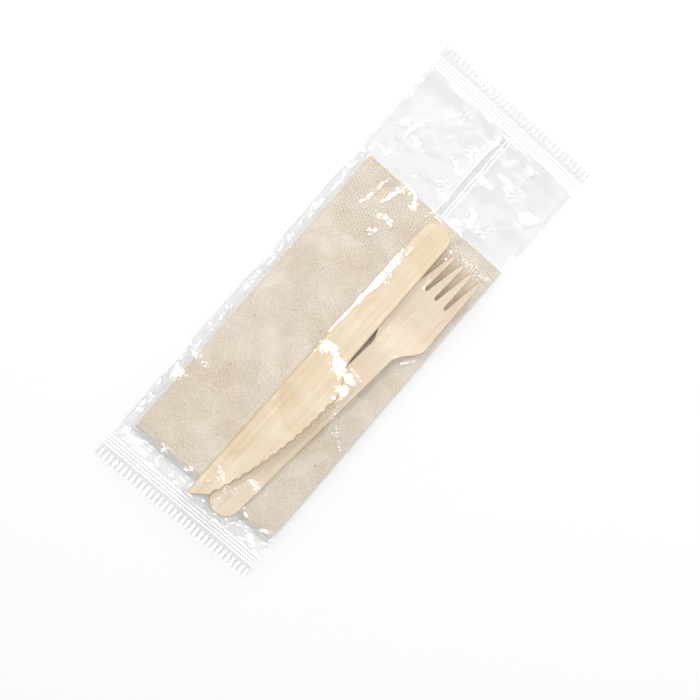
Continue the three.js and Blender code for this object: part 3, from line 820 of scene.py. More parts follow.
@dataclass
class Knife:
    """Pressed wooden knife: straight spine, scalloped blade, rounded handle end."""

    length: float = 165.0
    blade_width: float = 22.6
    blade_length: float = 72.4
    nose_length: float = 6.0
    nose_width: float = 9.0
    nose_radius: float = 1.3
    neck: float = 94.0
    neck_width: float = 15.5
    end_width: float = 14.7
    end_radius: float = 7.0
    tooth_pitch: float = 4.7
    tooth_depth: float = 1.1
    tooth_steps: int = 6
    throat_bend: float = 2.6
    spine_reach: float = 0.45
    veneer: float = 1.5
    outline_step: float = 1.3
    roll: float = 14.43
    turn: float = KNIFE_TURN
    place: Place = (-107.3, 1.3, 3.81)
    finish: WoodFinish = WoodFinish(
        "knife_wood", light=linear(248, 236, 213), dark=linear(228, 206, 172), turn=KNIFE_TURN
    )

    def depth(self, u: Array) -> Array:
        """Distance of the lower edge from the spine, along the knife."""
        u = np.asarray(u, float)
        back = np.clip((self.blade_length - u) / (self.blade_length - self.nose_length), 0.0, 1.0)
        blade = self.blade_width + (self.nose_width - self.blade_width) * back**2
        nose = between(2 * self.nose_radius, self.nose_width, u / self.nose_length)
        ease = smoothstep(u, self.blade_length, self.neck)
        throat = self.blade_width + (self.neck_width - self.blade_width) * ease
        handle = between(self.neck_width, self.end_width, (u - self.neck) / (self.length - self.neck))
        edge = np.where(u < self.neck, throat, handle)
        edge = np.where(u < self.blade_length, blade, edge)
        return np.where(u < self.nose_length, nose, edge)

    def outline(self) -> Array:
        """Outline of the knife, anticlockwise, spine along y = 0 and blade below it."""
        r = self.nose_radius
        line = arc(r, -r, r, 90, 212.4, 9)
        line.append((self.nose_length, -self.nose_width))
        teeth = int((self.blade_length - self.nose_length) // self.tooth_pitch)
        pitch = (self.blade_length - self.nose_length) / teeth
        for k in range(teeth):
            a, m, b = (self.nose_length + (k + part) * pitch for part in (0.0, 0.5, 1.0))
            ya, ym, yb = (-float(self.depth(u)) for u in (a, m, b))
            ym += 2 * self.tooth_depth
            for t in np.arange(1, self.tooth_steps + 1) / self.tooth_steps:
                w = ((1 - t) ** 2, 2 * t * (1 - t), t * t)
                line.append((w[0] * a + w[1] * m + w[2] * b, w[0] * ya + w[1] * ym + w[2] * yb))
        swell = (self.neck - self.blade_length) / self.throat_bend
        ends = (self.blade_length, self.blade_length + swell, self.neck - swell, self.neck)
        for t in np.linspace(0.06, 1.0, 16):
            w = ((1 - t) ** 3, 3 * t * (1 - t) ** 2, 3 * t * t * (1 - t), t**3)
            across = (w[0] + w[1]) * self.blade_width + (w[2] + w[3]) * self.neck_width
            line.append((sum(a * b for a, b in zip(w, ends)), -across))
        c = self.length - self.end_radius
        line += arc(c, self.end_radius - self.end_width, self.end_radius, -90, 0, 10)
        line += arc(c, -self.end_radius, self.end_radius, 0, 90, 10)
        return even_loop(line, self.outline_step)

    def top_at(self, x: Array, y: Array) -> Array:
        """Height of the knife's upper face over places on the floor, very low where there is none."""
        u, v = own_frame(x, y, self.turn, self.place)
        d = -v / math.cos(math.radians(self.roll))
        on = (u > 0.0) & (u < self.length) & (d > -self.spine_reach) & (d < self.depth(u))
        return np.where(on, self.place[2] + d * math.sin(math.radians(self.roll)) + self.veneer, NOWHERE)

    def build(self) -> bpy.types.Object:
        """Builds and dresses the knife."""
        maker = MeshMaker()
        c, s = math.cos(math.radians(self.roll)), math.sin(math.radians(self.roll))

        def lift(plan: Array, height: Array) -> Array:
            """Plan points rolled about the spine and laid in place."""
            flat = np.stack((plan[:, 0], plan[:, 1] * c + height * s, height * c - plan[:, 1] * s), 1)
            return turned(flat, self.turn, self.place)

        pressed_plate(maker, self.outline(), self.veneer, lift)
        return maker.piece("wooden_knife", self.finish.material())


class SmoothField:
    """Gentle bumps over the pack, from a few seeded waves."""

    def __init__(self, seed: int, wavelength: float, count: int = 9) -> None:
        """Draws the waves' directions and starts."""
        rng = np.random.default_rng(seed)
        angle = rng.uniform(0.0, 2 * math.pi, count)
        size = 2 * math.pi / (wavelength * rng.uniform(0.7, 1.6, count))
        self.kx, self.ky = np.cos(angle) * size, np.sin(angle) * size
        self.start = rng.uniform(0.0, 2 * math.pi, count)

    def at(self, x: Array, y: Array) -> Array:
        """Height of the bumps at places, mostly between -1 and 1."""
        waves = np.sin(x[..., None] * self.kx + y[..., None] * self.ky + self.start)
        return waves.sum(-1) / math.sqrt(len(self.start))


@dataclass
class Napkin:
    """Square tissue sheet folded to an eighth: four nested folds with their leaf edges on three sides."""

    x0: float = -100.0
    x1: float = 60.0
    y0: float = -42.0
    y1: float = 38.0
    z0: float = 0.47
    z1: float = 3.51
    folds: int = 4
    leaf: float = 0.315
    border: float = 33.0
    dot_pitch: float = 1.7
    dot_radius: float = 0.42
    dot_depth: float = 0.14
    sheet: float = 320.0
    wave_height: float = 0.06
    wave_drop: float = 0.03
    upper_short: tuple[float, ...] = (0.0, 0.55, 0.25, 0.7)
    lower_short: tuple[float, ...] = (0.3, 0.1, 0.6, 0.4)
    start_short: tuple[float, ...] = (0.0, 0.45, 0.15, 0.6)
    end_short: tuple[float, ...] = (0.0, 0.2, 0.5, 0.35)
    finish: TissueFinish = TissueFinish()
    field_: SmoothField = field(default_factory=lambda: SmoothField(5, 26.0))

    def top_at(self, x: Array, y: Array) -> Array:
        """Height of the napkin's upper face over places on the floor, very low where there is none."""
        on = (x > self.x0) & (x < self.x1) & (y > self.y0) & (y < self.y1)
        return np.where(on, self.z1, NOWHERE)

    def wave(self, x: Array, y: Array) -> Array:
        """Shallow waves that all leaves follow."""
        return self.wave_height * self.field_.at(x, y) - self.wave_drop

    def dot_sizes(self) -> dict[str, float]:
        """Sizes of the embossed border, by the names of the tree's inputs."""
        return {
            "Pitch": self.dot_pitch * MM, "Radius": self.dot_radius * MM, "Depth": self.dot_depth * MM,
            "Start": (self.x1 - self.border + 0.5) * MM,
        }

    def emboss_tree(self) -> Graph:
        """Geometry tree that presses a border of dots into the sheet.

        Returns:
            The tree, with the dots' pitch, radius and depth and the border's start as inputs.
        """
        sizes = {name: SocketKind.VALUE for name in self.dot_sizes()}
        kinds = {"Geometry": SocketKind.SHAPE, **sizes, "Finish": SocketKind.MATERIAL}
        g = new_group("embossed_dots", "GeometryNodeTree", kinds, {"Geometry": SocketKind.SHAPE})
        given = g.add("NodeGroupInput").outputs
        spot = g.add("ShaderNodeSeparateXYZ", {0: g.add("GeometryNodeInputPosition").outputs[0]})
        row_share = math.sqrt(0.75)
        across = g.maths("DIVIDE", spot.outputs["Y"], g.maths("MULTIPLY", given["Pitch"], row_share))
        row = g.maths("ROUND", across)
        odd = g.maths("MULTIPLY", g.maths("FLOORED_MODULO", row, 2.0), 0.5)
        along = g.maths("SUBTRACT", g.maths("DIVIDE", spot.outputs["X"], given["Pitch"]), odd)
        du = g.maths("SUBTRACT", along, g.maths("ROUND", along))
        dv = g.maths("MULTIPLY", g.maths("SUBTRACT", across, row), row_share)
        far = g.maths("SQRT", g.maths("ADD", g.maths("MULTIPLY", du, du), g.maths("MULTIPLY", dv, dv)))
        reach = g.maths("DIVIDE", given["Radius"], given["Pitch"])
        press = g.maths("SUBTRACT", 1.0, g.maths("DIVIDE", far, reach), clamp=True)
        press = g.maths("MULTIPLY", press, g.maths("SUBTRACT", 2.0, press))
        inside = g.maths("GREATER_THAN", spot.outputs["X"], given["Start"])
        skin = g.add("GeometryNodeInputNamedAttribute", {"Name": "skin"}, data_type="FLOAT")
        pit = g.maths("MULTIPLY", press, g.maths("MULTIPLY", inside, skin.outputs["Attribute"]))
        # The pit mark also darkens the tissue's colour in its finish: painted shade in the pits.
        kept = g.add("GeometryNodeStoreNamedAttribute", {
            "Geometry": given["Geometry"], "Name": "pit", "Value": pit,
        }, data_type="FLOAT", domain="POINT")
        facing = g.add("GeometryNodeInputNormal").outputs[0]
        down = g.add("ShaderNodeVectorMath", {0: facing}, operation="SCALE")
        depth = g.maths("MULTIPLY", pit, g.maths("MULTIPLY", given["Depth"], -1.0))
        g.tree.links.new(depth, down.inputs["Scale"])
        g.move_and_dress(kept.outputs[0], down.outputs[0], given["Finish"])
        return g

    def section(self, k: int, inset: float, steps: int) -> Array:
        """Line across fold k from its upper leaf's edge round to its lower leaf's edge.

        Args:
            k: Number of the fold, 0 outside.
            inset: Distance inside the fold's outer face.
            steps: Points across the leaf.

        Returns:
            Rows of y and z.
        """
        pitch = (self.z1 - self.z0) / (2 * self.folds)
        middle = (self.z0 + self.z1) / 2
        radius = (self.z1 - self.z0) / 2 - k * pitch - inset
        centre = self.y0 + (self.z1 - self.z0) / 2
        upper = np.linspace(self.y1 - self.upper_short[k], centre, steps)
        lower = np.linspace(centre, self.y1 - self.lower_short[k], max(steps // 6, 8))
        turn = np.radians(np.linspace(90.0, 270.0, 13)[1:-1])
        bend = np.stack((centre + radius * np.cos(turn), middle + radius * np.sin(turn)), 1)
        top = np.stack((upper, np.full_like(upper, middle + radius)), 1)
        low = np.stack((lower, np.full_like(lower, middle - radius)), 1)
        return np.concatenate((top, bend, low))

    def add_fold(self, maker: MeshMaker, k: int) -> None:
        """Adds one closed fold of the sheet."""
        start, stop = self.x0 + self.start_short[k], self.x1 - self.end_short[k]
        fine = stop - self.border
        outermost = k == 0
        plain = np.linspace(start, fine, 28)[:-1]
        columns = np.concatenate((plain, np.linspace(fine, stop, 112 if outermost else 8)))
        steps = 260 if outermost else 24
        outer, inner = self.section(k, 0.0, steps), self.section(k, self.leaf, steps)
        rows = []
        for line, skin in ((outer, float(outermost)), (inner, 0.0)):
            x, y = np.meshgrid(columns, line[:, 0], indexing="ij")
            z = line[None, :, 1] + self.wave(x, y)
            rows.append(maker.add(np.stack((x, y, z), -1), skin=np.full(x.shape, skin)))
        out, into = rows
        maker.slab(into, out)

    def build(self) -> bpy.types.Object:
        """Builds and dresses the napkin."""
        maker = MeshMaker()
        for k in range(self.folds):
            self.add_fold(maker, k)
        finish = self.finish.material()
        piece = maker.piece("folded_napkin", finish)
        run_nodes(piece, self.emboss_tree(), {**self.dot_sizes(), "Finish": finish})
        return piece


@dataclass(frozen=True)
class Pleat:
    """A sharp crease in the film: a ridge along a path, steep on its left and gentle on its right."""

    path: tuple[Point, ...]
    width: float
    slope: float = 0.6
    back_slope: float = 0.22
    end_share: float = 0.42

    def over(self, x: Array, y: Array) -> Array:
        """Height that the crease adds at places.

        Args:
            x: Places along the pack.
            y: Places across it.

        Returns:
            Heights, zero away from the crease.
        """
        total = np.zeros_like(x)
        crest = self.width * self.slope
        spans = [math.dist(a, b) for a, b in zip(self.path, self.path[1:])]
        whole, gone = sum(spans), 0.0
        for (ax, ay), (bx, by), span in zip(self.path, self.path[1:], spans):
            ux, uy = (bx - ax) / span, (by - ay) / span
            along = (x - ax) * ux + (y - ay) * uy
            side = (y - ay) * ux - (x - ax) * uy
            held = np.clip(along, 0.0, span)
            away = np.hypot(side, along - held)
            done = gone + held
            ends = np.clip(np.minimum(done, whole - done) / (self.end_share * whole), 0.0, 1.0)
            fall = np.where(side >= 0.0, self.slope, self.back_slope)
            total = np.maximum(total, crest * ends - fall * away)
            gone += span
        return total


@dataclass(frozen=True)
class TautFacet:
    """A flat stretch of film pulled taut, given by its corners, anticlockwise, and by how it leans."""

    corners: tuple[Point, ...]
    lean: Lean
    fall: float = 2.0

    def laid_on(self, x: Array, y: Array, z: Array) -> Array:
        """Film with the facet laid on it, falling away steeply past its sides.

        Args:
            x: Places along the pack.
            y: Places across it.
            z: Heights of the film.

        Returns:
            New heights.
        """
        outside = np.full_like(x, NOWHERE)
        for (ax, ay), (bx, by) in zip(self.corners, self.corners[1:] + self.corners[:1]):
            span = math.dist((ax, ay), (bx, by))
            outside = np.maximum(outside, ((x - ax) * (by - ay) - (y - ay) * (bx - ax)) / span)
        along, across = self.lean.value
        tilt = along * x + across * y
        on = outside <= 0.0
        if not on.any():
            return z
        plane = tilt + (z - tilt)[on].max()
        return np.maximum(z, plane - self.fall * np.maximum(outside, 0.0))


def leaning(lean: Lean, outlines: Sequence[tuple[Point, ...]]) -> tuple[TautFacet, ...]:
    """Taut facets that lean one way, in order."""
    return tuple(TautFacet(corners, lean) for corners in outlines)


@dataclass(frozen=True)
class Crinkle:
    """Flat facets of one size in crumpled film: their spacing, their seed, and their heights by region."""

    step: float
    seed: int
    all_over: float = 0.0
    empty: float = 0.0
    rough: float = 0.0
    near: float = 0.0
    side: float = 0.0
    calmed: float = 0.0
    only_slack: bool = False


@dataclass
class FilmPouch:
    """Tube of clear film laid over the contents, with a fin under it and a crimped seal at each end."""

    half_length: float = 120.7
    half_width: float = 44.0
    seal_start: float = 109.5
    film: float = 0.04
    near_lift: float = 2.6
    far_lift: float = 1.0
    edge_height: float = 0.9
    edge_wave: float = 1.4
    edge_draw: float = 1.2
    napkin_start: float = -100.0
    napkin_end: float = 60.0
    clearance: float = 0.22
    flank: float = 1.6
    leave_slope: float = 0.4
    curve: float = 1.0
    empty_curve: float = 0.03
    columns: int = 308
    rows: int = 122
    blade_root: Point = (-40.0, -8.0)
    column_gains: tuple[float, float, float] = (0.65, 0.15, 0.15)
    crinkles: tuple[Crinkle, ...] = (
        Crinkle(15.0, 11, all_over=0.7, empty=0.8),
        Crinkle(7.5, 23, all_over=0.5, empty=0.4, near=0.2, side=0.3, calmed=0.65),
        Crinkle(3.6, 37, 0.03, empty=0.2, rough=1.0, near=1.4, side=1.3, calmed=1.0, only_slack=True),
        Crinkle(2.3, 53, rough=0.5, near=0.5, side=0.3, calmed=1.0, only_slack=True),
    )
    over_drop: float = 0.5
    side_strip: Point = (37.0, 39.5)
    slack_below: Point = (4.3, 5.3)
    clings: tuple[Crinkle, ...] = (Crinkle(8.0, 71, all_over=0.6), Crinkle(3.0, 83, all_over=0.4))
    cling_from: Point = (0.5, 0.56)
    cling_reach: Point = (30.0, 55.0)
    touch_gap: Point = (0.02, 0.16)
    least_touch: float = 0.3
    least_bend: float = 0.05
    bend_range: float = 0.4
    settle_rounds: int = 1100
    crisp: float = 7.0
    hollow_side: float = 0.12
    hollow_end: float = 0.25
    hollow_pinch: float = 0.6
    hollow_most: float = 3.0
    ribs: int = 4
    rib_pitch: float = 1.55
    rib_front: float = 0.22
    rib_back: float = 0.25
    comb_pitch: float = 2.65
    comb_front: float = 0.9
    comb_back: float = 0.3
    rib_slope: float = 0.66
    comb_slope: float = 0.4
    fin_root: float = -1.0
    fin_width: float = 6.0
    fin_recess: float = 0.27
    fin_welds: tuple[float, ...] = (-6.6, -5.0, -1.4)
    weld_half: float = 0.3
    fin_weld: float = 0.32
    fin_gap: float = 0.012
    finish: FilmFinish = FilmFinish()
    crumples: tuple[tuple[float, float, float], ...] = ()
    pleats: tuple[Pleat, ...] = ()
    taut: tuple[TautFacet, ...] = ()

    def near_rise(self, x: Array) -> Array:
        """Share of the near seal's height that the film has reached."""
        return 1.0 - smoothstep(x, -self.seal_start, self.napkin_start - 0.5)

    def far_rise(self, x: Array) -> Array:
        """Share of the far seal's height that the film has reached."""
        return smoothstep(x, self.seal_start - 12.0, self.seal_start)

    def lift(self, x: Array) -> Array:
        """Height of the seals' middle, easing to nothing between them."""
        return self.near_lift * self.near_rise(x) + self.far_lift * self.far_rise(x)

    def loose_edge(self, x: Array) -> Array:
        """How far the loose side runs in."""
        t = np.clip((x + self.seal_start) / (2 * self.seal_start), 0.0, 1.0)
        wave = np.sin(7.3 * math.pi * t) * np.sin(3.1 * math.pi * t)
        return self.edge_wave * wave * wave * np.sqrt(np.sin(math.pi * t))

    def tight_edge(self, x: Array) -> Array:
        """How far the tight side is drawn in against the napkin."""
        started = smoothstep(x, -self.seal_start + 2.0, self.napkin_start)
        left = smoothstep(x, self.napkin_end - 2.0, self.napkin_end + 14.0)
        return self.edge_draw * started * (1.0 - left)

    def rim_height(self, x: Array) -> Array:
        """Height of the pouch's rim along it."""
        return np.maximum(self.edge_height, self.lift(x))

    def spread(self) -> Array:
        """Places of the film's columns, closer over the empty end, the near end and the blade's root."""
        fine = np.linspace(-self.seal_start, self.seal_start, 2001)
        empty = smoothstep(fine, self.napkin_end - 4.0, self.napkin_end + 4.0)
        near = 1.0 - smoothstep(fine, self.napkin_start + 18.0, self.napkin_start + 26.0)
        start, end = self.blade_root
        root = smoothstep(fine, start, start + 4.0) * (1.0 - smoothstep(fine, end - 4.0, end))
        weight = 1.0 + sum(gain * part for gain, part in zip(self.column_gains, (empty, near, root)))
        done = np.concatenate(([0.0], np.cumsum(0.5 * (weight[1:] + weight[:-1]))))
        return np.interp(np.linspace(0.0, done[-1], self.columns + 1), done, fine)

    def plan(self) -> tuple[Array, Array]:
        """Places of the upper film's points between the seals, as two grids."""
        across = np.linspace(-self.half_width, self.half_width, self.rows + 1)
        x, y = np.meshgrid(self.spread(), across, indexing="ij")
        pull = smoothstep(y, self.half_width - 8.0, self.half_width)
        push = smoothstep(-y, self.half_width - 8.0, self.half_width)
        loose = self.loose_edge(np.clip(x, -self.seal_start + 1e-6, self.seal_start - 1e-6))
        return x, y - loose * pull + self.tight_edge(x) * push

    def facets(self, x: Array, y: Array, step: float, seed: int) -> Array:
        """Flat facets between scattered points, as film takes when it is crumpled.

        Args:
            x: Places along the pack, on the film's grid.
            y: Places across it.
            step: Distance between the scattered points.
            seed: Start of the random numbers.

        Returns:
            Heights between 0 and 1.
        """
        rng = np.random.default_rng(seed)
        gx = np.arange(-self.seal_start - step, self.seal_start + 2 * step, step)
        gy = np.arange(-self.half_width - step, self.half_width + 2 * step, step)
        px, py = np.meshgrid(gx, gy, indexing="ij")
        dots = np.stack((px.ravel(), py.ravel()), 1) + rng.uniform(-0.42, 0.42, (px.size, 2)) * step
        high = rng.uniform(0.0, 1.0, len(dots))
        found = delaunay_2d_cdt([Vector(p) for p in dots], [], [], 0, 1e-7)
        source = [ids[0] for ids in found[3]]
        out = np.zeros_like(x)
        places = x[:, 0]
        pitch_y = 2 * self.half_width / self.rows
        for face in found[2]:
            a, b, c = (source[k] for k in face)
            low, top = dots[[a, b, c]].min(0), dots[[a, b, c]].max(0)
            i0 = max(0, int(np.searchsorted(places, low[0])) - 1)
            i1 = min(self.columns + 1, int(np.searchsorted(places, top[0])) + 1)
            j0 = max(0, int((low[1] + self.half_width) / pitch_y) - 3)
            j1 = min(self.rows + 1, int((top[1] + self.half_width) / pitch_y) + 5)
            if i0 >= i1 or j0 >= j1:
                continue
            sx, sy = x[i0:i1, j0:j1], y[i0:i1, j0:j1]
            (ax, ay), (bx, by), (cx, cy) = dots[a], dots[b], dots[c]
            area = (bx - ax) * (cy - ay) - (cx - ax) * (by - ay)
            wb = ((sx - ax) * (cy - ay) - (cx - ax) * (sy - ay)) / area
            wc = ((bx - ax) * (sy - ay) - (sx - ax) * (by - ay)) / area
            on = (wb >= -1e-9) & (wc >= -1e-9) & (wb + wc <= 1.0 + 1e-9)
            value = high[a] + wb * (high[b] - high[a]) + wc * (high[c] - high[a])
            out[i0:i1, j0:j1] = np.where(on, value, out[i0:i1, j0:j1])
        return out

    def support(self, x: Array, y: Array, tops: Sequence[Top]) -> Array:
        """Lowest height that the film may have over the contents and its own underside.

        Args:
            x: Places along the pack.
            y: Places across it.
            tops: Height of each content's upper face over places.

        Returns:
            Heights, with room for the film's mesh at sharp edges and straight flanks below them.
        """
        step = np.gradient(x[:, 0])[:, None]
        high = np.full_like(x, NOWHERE)
        for dx in np.linspace(-1.0, 1.0, 7):
            for dy in np.linspace(-1.0, 1.0, 7):
                for top in tops:
                    high = np.maximum(high, top(x + dx * step, y + dy * step))
        high = high + self.clearance
        for _ in range(12):
            wide = np.pad(high, 1, constant_values=NOWHERE)
            for di, dj in ((0, 1), (1, 0), (1, 2), (2, 1), (0, 0), (0, 2), (2, 0), (2, 2)):
                near = wide[di:di + high.shape[0], dj:dj + high.shape[1]]
                high = np.maximum(high, near - self.flank * step * math.hypot(di - 1, dj - 1))
        edge = int(np.searchsorted(x[:, 0], self.napkin_end))
        leaving = high[edge] - self.leave_slope * (x[edge:] - x[edge])
        high[edge:] = np.maximum(high[edge:], leaving)
        return np.maximum(high, self.under(x, y) + 0.2)

    def under(self, x: Array, y: Array) -> Array:
        """Height of the film's lower face at places."""
        finned = (y > self.fin_root - self.fin_width - 1.1) & (y < self.fin_root + 1.1)
        fade = (1.0 - self.near_rise(x)) * (1.0 - smoothstep(x, self.seal_start - 1.5, self.seal_start))
        return self.rest_height(x) + self.fin_recess * finned * fade

    def rest_height(self, x: Array) -> Array:
        """Height of what the underside follows: the floor, then up to the seals."""
        return np.maximum(self.lift(x) - self.film - 0.3, 0.0)

    def drape(self, x: Array, y: Array, low: Array) -> Array:
        """Lays the film over what carries it, taut between high places and pinned at its rim.

        Args:
            x: Places along the pack.
            y: Places across it; not used.
            low: Lowest allowed heights.

        Returns:
            Heights of the film's upper face.
        """
        rim = self.rim_height(x) + self.film
        pinned = np.zeros_like(x, bool)
        pinned[[0, -1], :] = True
        pinned[:, [0, -1]] = True
        bare = smoothstep(x, self.napkin_end - 2.0, self.napkin_end + 2.0)
        step = 2 * self.seal_start / self.columns
        sag = (step * step / 4 * between(self.curve, self.empty_curve, bare))[1:-1, 1:-1]
        z = np.where(pinned, rim, np.maximum(low, rim))
        for _ in range(self.settle_rounds):
            mean = 0.25 * (z[:-2, 1:-1] + z[2:, 1:-1] + z[1:-1, :-2] + z[1:-1, 2:]) - sag
            z[1:-1, 1:-1] = np.maximum(low[1:-1, 1:-1], 0.2 * z[1:-1, 1:-1] + 0.8 * mean)
        return z

    def creased(self, x: Array, y: Array, z: Array, low: Array) -> tuple[Array, dict[str, Array]]:
        """Adds facets and creases to the draped film.

        Args:
            x: Places along the pack.
            y: Places across it.
            z: Heights of the draped film.
            low: Lowest allowed heights.

        Returns:
            New heights, and how sharply the film is creased and how closely it clings at each place.
        """
        rim = np.minimum(self.half_width - np.abs(y), self.seal_start - np.abs(x))
        free = smoothstep(rim, 0.0, 2.5)
        empty = smoothstep(x, self.napkin_end - 1.0, self.napkin_end + 6.0)
        near = 1.0 - smoothstep(x, self.napkin_start - 1.0, self.napkin_start + 4.0)
        side = smoothstep(y, *self.side_strip) * (1.0 - empty)
        over = 1.0 - np.clip(empty + near + side, 0.0, 1.0)
        slack = 1.0 - smoothstep(low, *self.slack_below)
        rough = np.zeros_like(x)
        for cx, cy, reach in self.crumples:
            rough = np.maximum(rough, np.exp(-((x - cx) ** 2 + (y - cy) ** 2) / reach**2))
        folds = np.zeros_like(x)
        for pleat in self.pleats:
            folds = folds + pleat.over(x, y)
        calm = 1.0 - smoothstep(folds, 0.0, 0.2)
        rise = -self.over_drop * over
        for crinkle in self.crinkles:
            edges = crinkle.near * near + crinkle.side * side
            height = crinkle.all_over + empty * (crinkle.empty + crinkle.rough * rough)
            height = height + (slack * edges if crinkle.only_slack else edges)
            spared = 1.0 - crinkle.calmed * (1.0 - calm)
            rise = rise + self.facets(x, y, crinkle.step, crinkle.seed) * height * spared
        rise = free * rise + folds * smoothstep(rim, 0.0, 1.5)
        z = np.maximum(low, z + rise)
        for facet in self.taut:
            z = facet.laid_on(x, y, z)
        patches = sum(part.all_over * self.facets(x, y, part.step, part.seed) for part in self.clings)
        cling = smoothstep(patches, *self.cling_from) * smoothstep(-x, *self.cling_reach) * (1.0 - slack)
        touch = 1.0 - smoothstep(z - low, *self.touch_gap)
        bend = np.zeros_like(z)
        inner = z[1:-1, 1:-1]
        bend[1:-1, 1:-1] = np.abs(z[:-2, 1:-1] + z[2:, 1:-1] - 2 * inner)
        bend[1:-1, 1:-1] += np.abs(z[1:-1, :-2] + z[1:-1, 2:] - 2 * inner)
        marks = {
            "crease": np.clip((bend - self.least_bend) / self.bend_range, 0.0, 1.0),
            "touch": touch * over * between(self.least_touch, 1.0, cling),
        }
        return z, marks

    def crimp_places(self, pitch: float, front: float, back: float, start: float, end: float) -> Array:
        """Places where a row of crimps changes slope, from start to end."""
        first, last = math.floor(start / pitch) - 1, math.ceil(end / pitch) + 1
        turns = [k * pitch + part for k in range(first, last) for part in (0.0, front, front + back)]
        kept = [v for v in turns if start + 0.05 < v < end - 0.05]
        return np.array([start, *kept, end])

    def add_seal(self, maker: MeshMaker, top: Array, bottom: Array, way: int) -> None:
        """Adds one flat end seal that grows from the film's last columns.

        Args:
            maker: Mesh that takes the seal.
            top: Point numbers of the upper film's end column.
            bottom: Point numbers of the lower film's end column.
            way: -1 for the near end, 1 for the far end.
        """
        height = self.near_lift if way < 0 else self.far_lift
        half = self.half_width
        across = -self.crimp_places(self.comb_pitch, self.comb_front, self.comb_back, -half, half)[::-1]
        ribbed = self.ribs * self.rib_pitch
        ribs = self.crimp_places(self.rib_pitch, self.rib_front, self.rib_back, 0.0, ribbed)
        out = np.concatenate((ribs[1:], np.linspace(ribbed, self.half_length - self.seal_start, 5)[1:]))
        x, y = np.meshgrid(way * (self.seal_start + out), across, indexing="ij")
        sheets = []
        for offset in (self.film, -self.film):
            points = np.stack((x, y, np.full_like(x, height + offset)), -1)
            sheets.append(maker.add(points, weld=np.ones(x.size)))
        upper, lower = sheets
        maker.grid(upper, flip=way < 0)
        maker.grid(lower, flip=way > 0)
        self.zip_to(maker, top, upper[0], way > 0)
        self.zip_to(maker, bottom, lower[0], way < 0)
        for side, flip in ((0, way > 0), (-1, way < 0)):
            first = np.concatenate(([top[side]], upper[:, side]))
            second = np.concatenate(([bottom[side]], lower[:, side]))
            maker.grid(np.stack((first, second) if flip else (second, first)))
        last = np.stack((upper[-1], lower[-1]) if way > 0 else (lower[-1], upper[-1]))
        maker.grid(last)

    @staticmethod
    def zip_to(maker: MeshMaker, first: Array, second: Array, forward: bool) -> None:
        """Joins two rows of points that both run from -Y to +Y, whatever their numbers of points."""
        points = np.concatenate(maker.points)
        ya, yb = points[first, 1], points[second, 1]
        i = j = 0
        while i < len(first) - 1 or j < len(second) - 1:
            if j == len(second) - 1 or (i < len(first) - 1 and ya[i + 1] <= yb[j + 1] + 1e-9):
                face = (int(first[i]), int(second[j]), int(first[i + 1]))
                i += 1
            else:
                face = (int(first[i]), int(second[j]), int(second[j + 1]))
                j += 1
            maker.faces.append(face if forward else face[::-1])

    def under_rows(self) -> Array:
        """Places across the underside: close together at the fin and the folded sides."""
        fin = self.fin_root - self.fin_width
        near_fin = [fin - 1.2, fin - 0.9, fin - 0.4, fin + 1.0, fin + 3.0]
        near_root = [self.fin_root - 1.0, self.fin_root + 0.5, self.fin_root + 0.9, self.fin_root + 1.3]
        left = np.linspace(-self.half_width + 2.4, fin - 3.0, 5)
        right = np.linspace(self.fin_root + 4.0, self.half_width - 2.6, 6)
        return np.concatenate((left, near_fin, near_root, right))

    def build_mesh(self, x: Array, y: Array, z: Array, marks: dict[str, Array]) -> MeshMaker:
        """Puts the film's outer skin, its hollow and its fin together.

        Args:
            x: Places along the pack.
            y: Places across it.
            z: Heights of the upper face.
            marks: Values for the upper face's points, kept as attributes.

        Returns:
            The closed mesh, still without its crimped ribs.
        """
        maker = MeshMaker()
        columns = x[:, 0]
        rim = self.rim_height(columns)
        ux, uy = np.meshgrid(columns, self.under_rows(), indexing="ij")
        uz = self.under(ux, uy)
        uz[[0, -1]] = self.lift(ux[[0, -1]]) - self.film
        first = np.stack((columns, y[:, 0], rim - self.film), -1)[:, None]
        last = np.stack((columns, y[:, -1], rim - self.film), -1)[:, None]
        lower = np.concatenate((first, np.stack((ux, uy, uz), -1), last), 1)
        upper = np.stack((x, y, z), -1)
        top = maker.add(upper, **marks)
        low = maker.add(lower)
        maker.sleeve(top, low)
        self.add_seal(maker, top[0], low[0], -1)
        self.add_seal(maker, top[-1], low[-1], 1)
        self.add_hollow(maker, upper, lower)
        self.add_fin(maker)
        return maker

    def add_hollow(self, maker: MeshMaker, upper: Array, lower: Array) -> None:
        """Adds the inner faces of the film, a film's thickness inside the outer ones.

        Args:
            maker: Mesh that takes the faces.
            upper: Points of the outer upper face.
            lower: Points of the outer lower face.
        """
        inside = []
        for points, way in ((upper, -1.0), (lower, 1.0)):
            z = points[..., 2]
            steep_x = np.abs(np.gradient(z, points[:, 0, 0], axis=0))
            steep_y = np.abs(np.diff(z, axis=1)) / np.maximum(np.diff(points[..., 1], axis=1), 1e-6)
            steep = np.maximum(steep_x, np.pad(steep_y, ((0, 0), (1, 0))))
            steep = np.maximum(steep, np.pad(steep_y, ((0, 0), (0, 1))))
            pinch = way * self.film * self.hollow_pinch
            moved = points.copy()
            moved[..., 2] += way * self.film * np.minimum(np.hypot(1.0, steep), self.hollow_most)
            moved[:, 0, 1] += self.hollow_side
            moved[:, -1, 1] -= self.hollow_side
            moved[:, [0, -1], 2] = points[:, [0, -1], 2] + pinch
            moved[0, :, 0] += self.hollow_end
            moved[-1, :, 0] -= self.hollow_end
            moved[[0, -1], :, 2] = points[[0, -1], :, 2] + pinch
            inside.append(moved)
        top, low = maker.add(inside[0]), maker.add(inside[1])
        maker.sleeve(low, top)
        self.zip_to(maker, low[0], top[0], False)
        self.zip_to(maker, low[-1], top[-1], True)

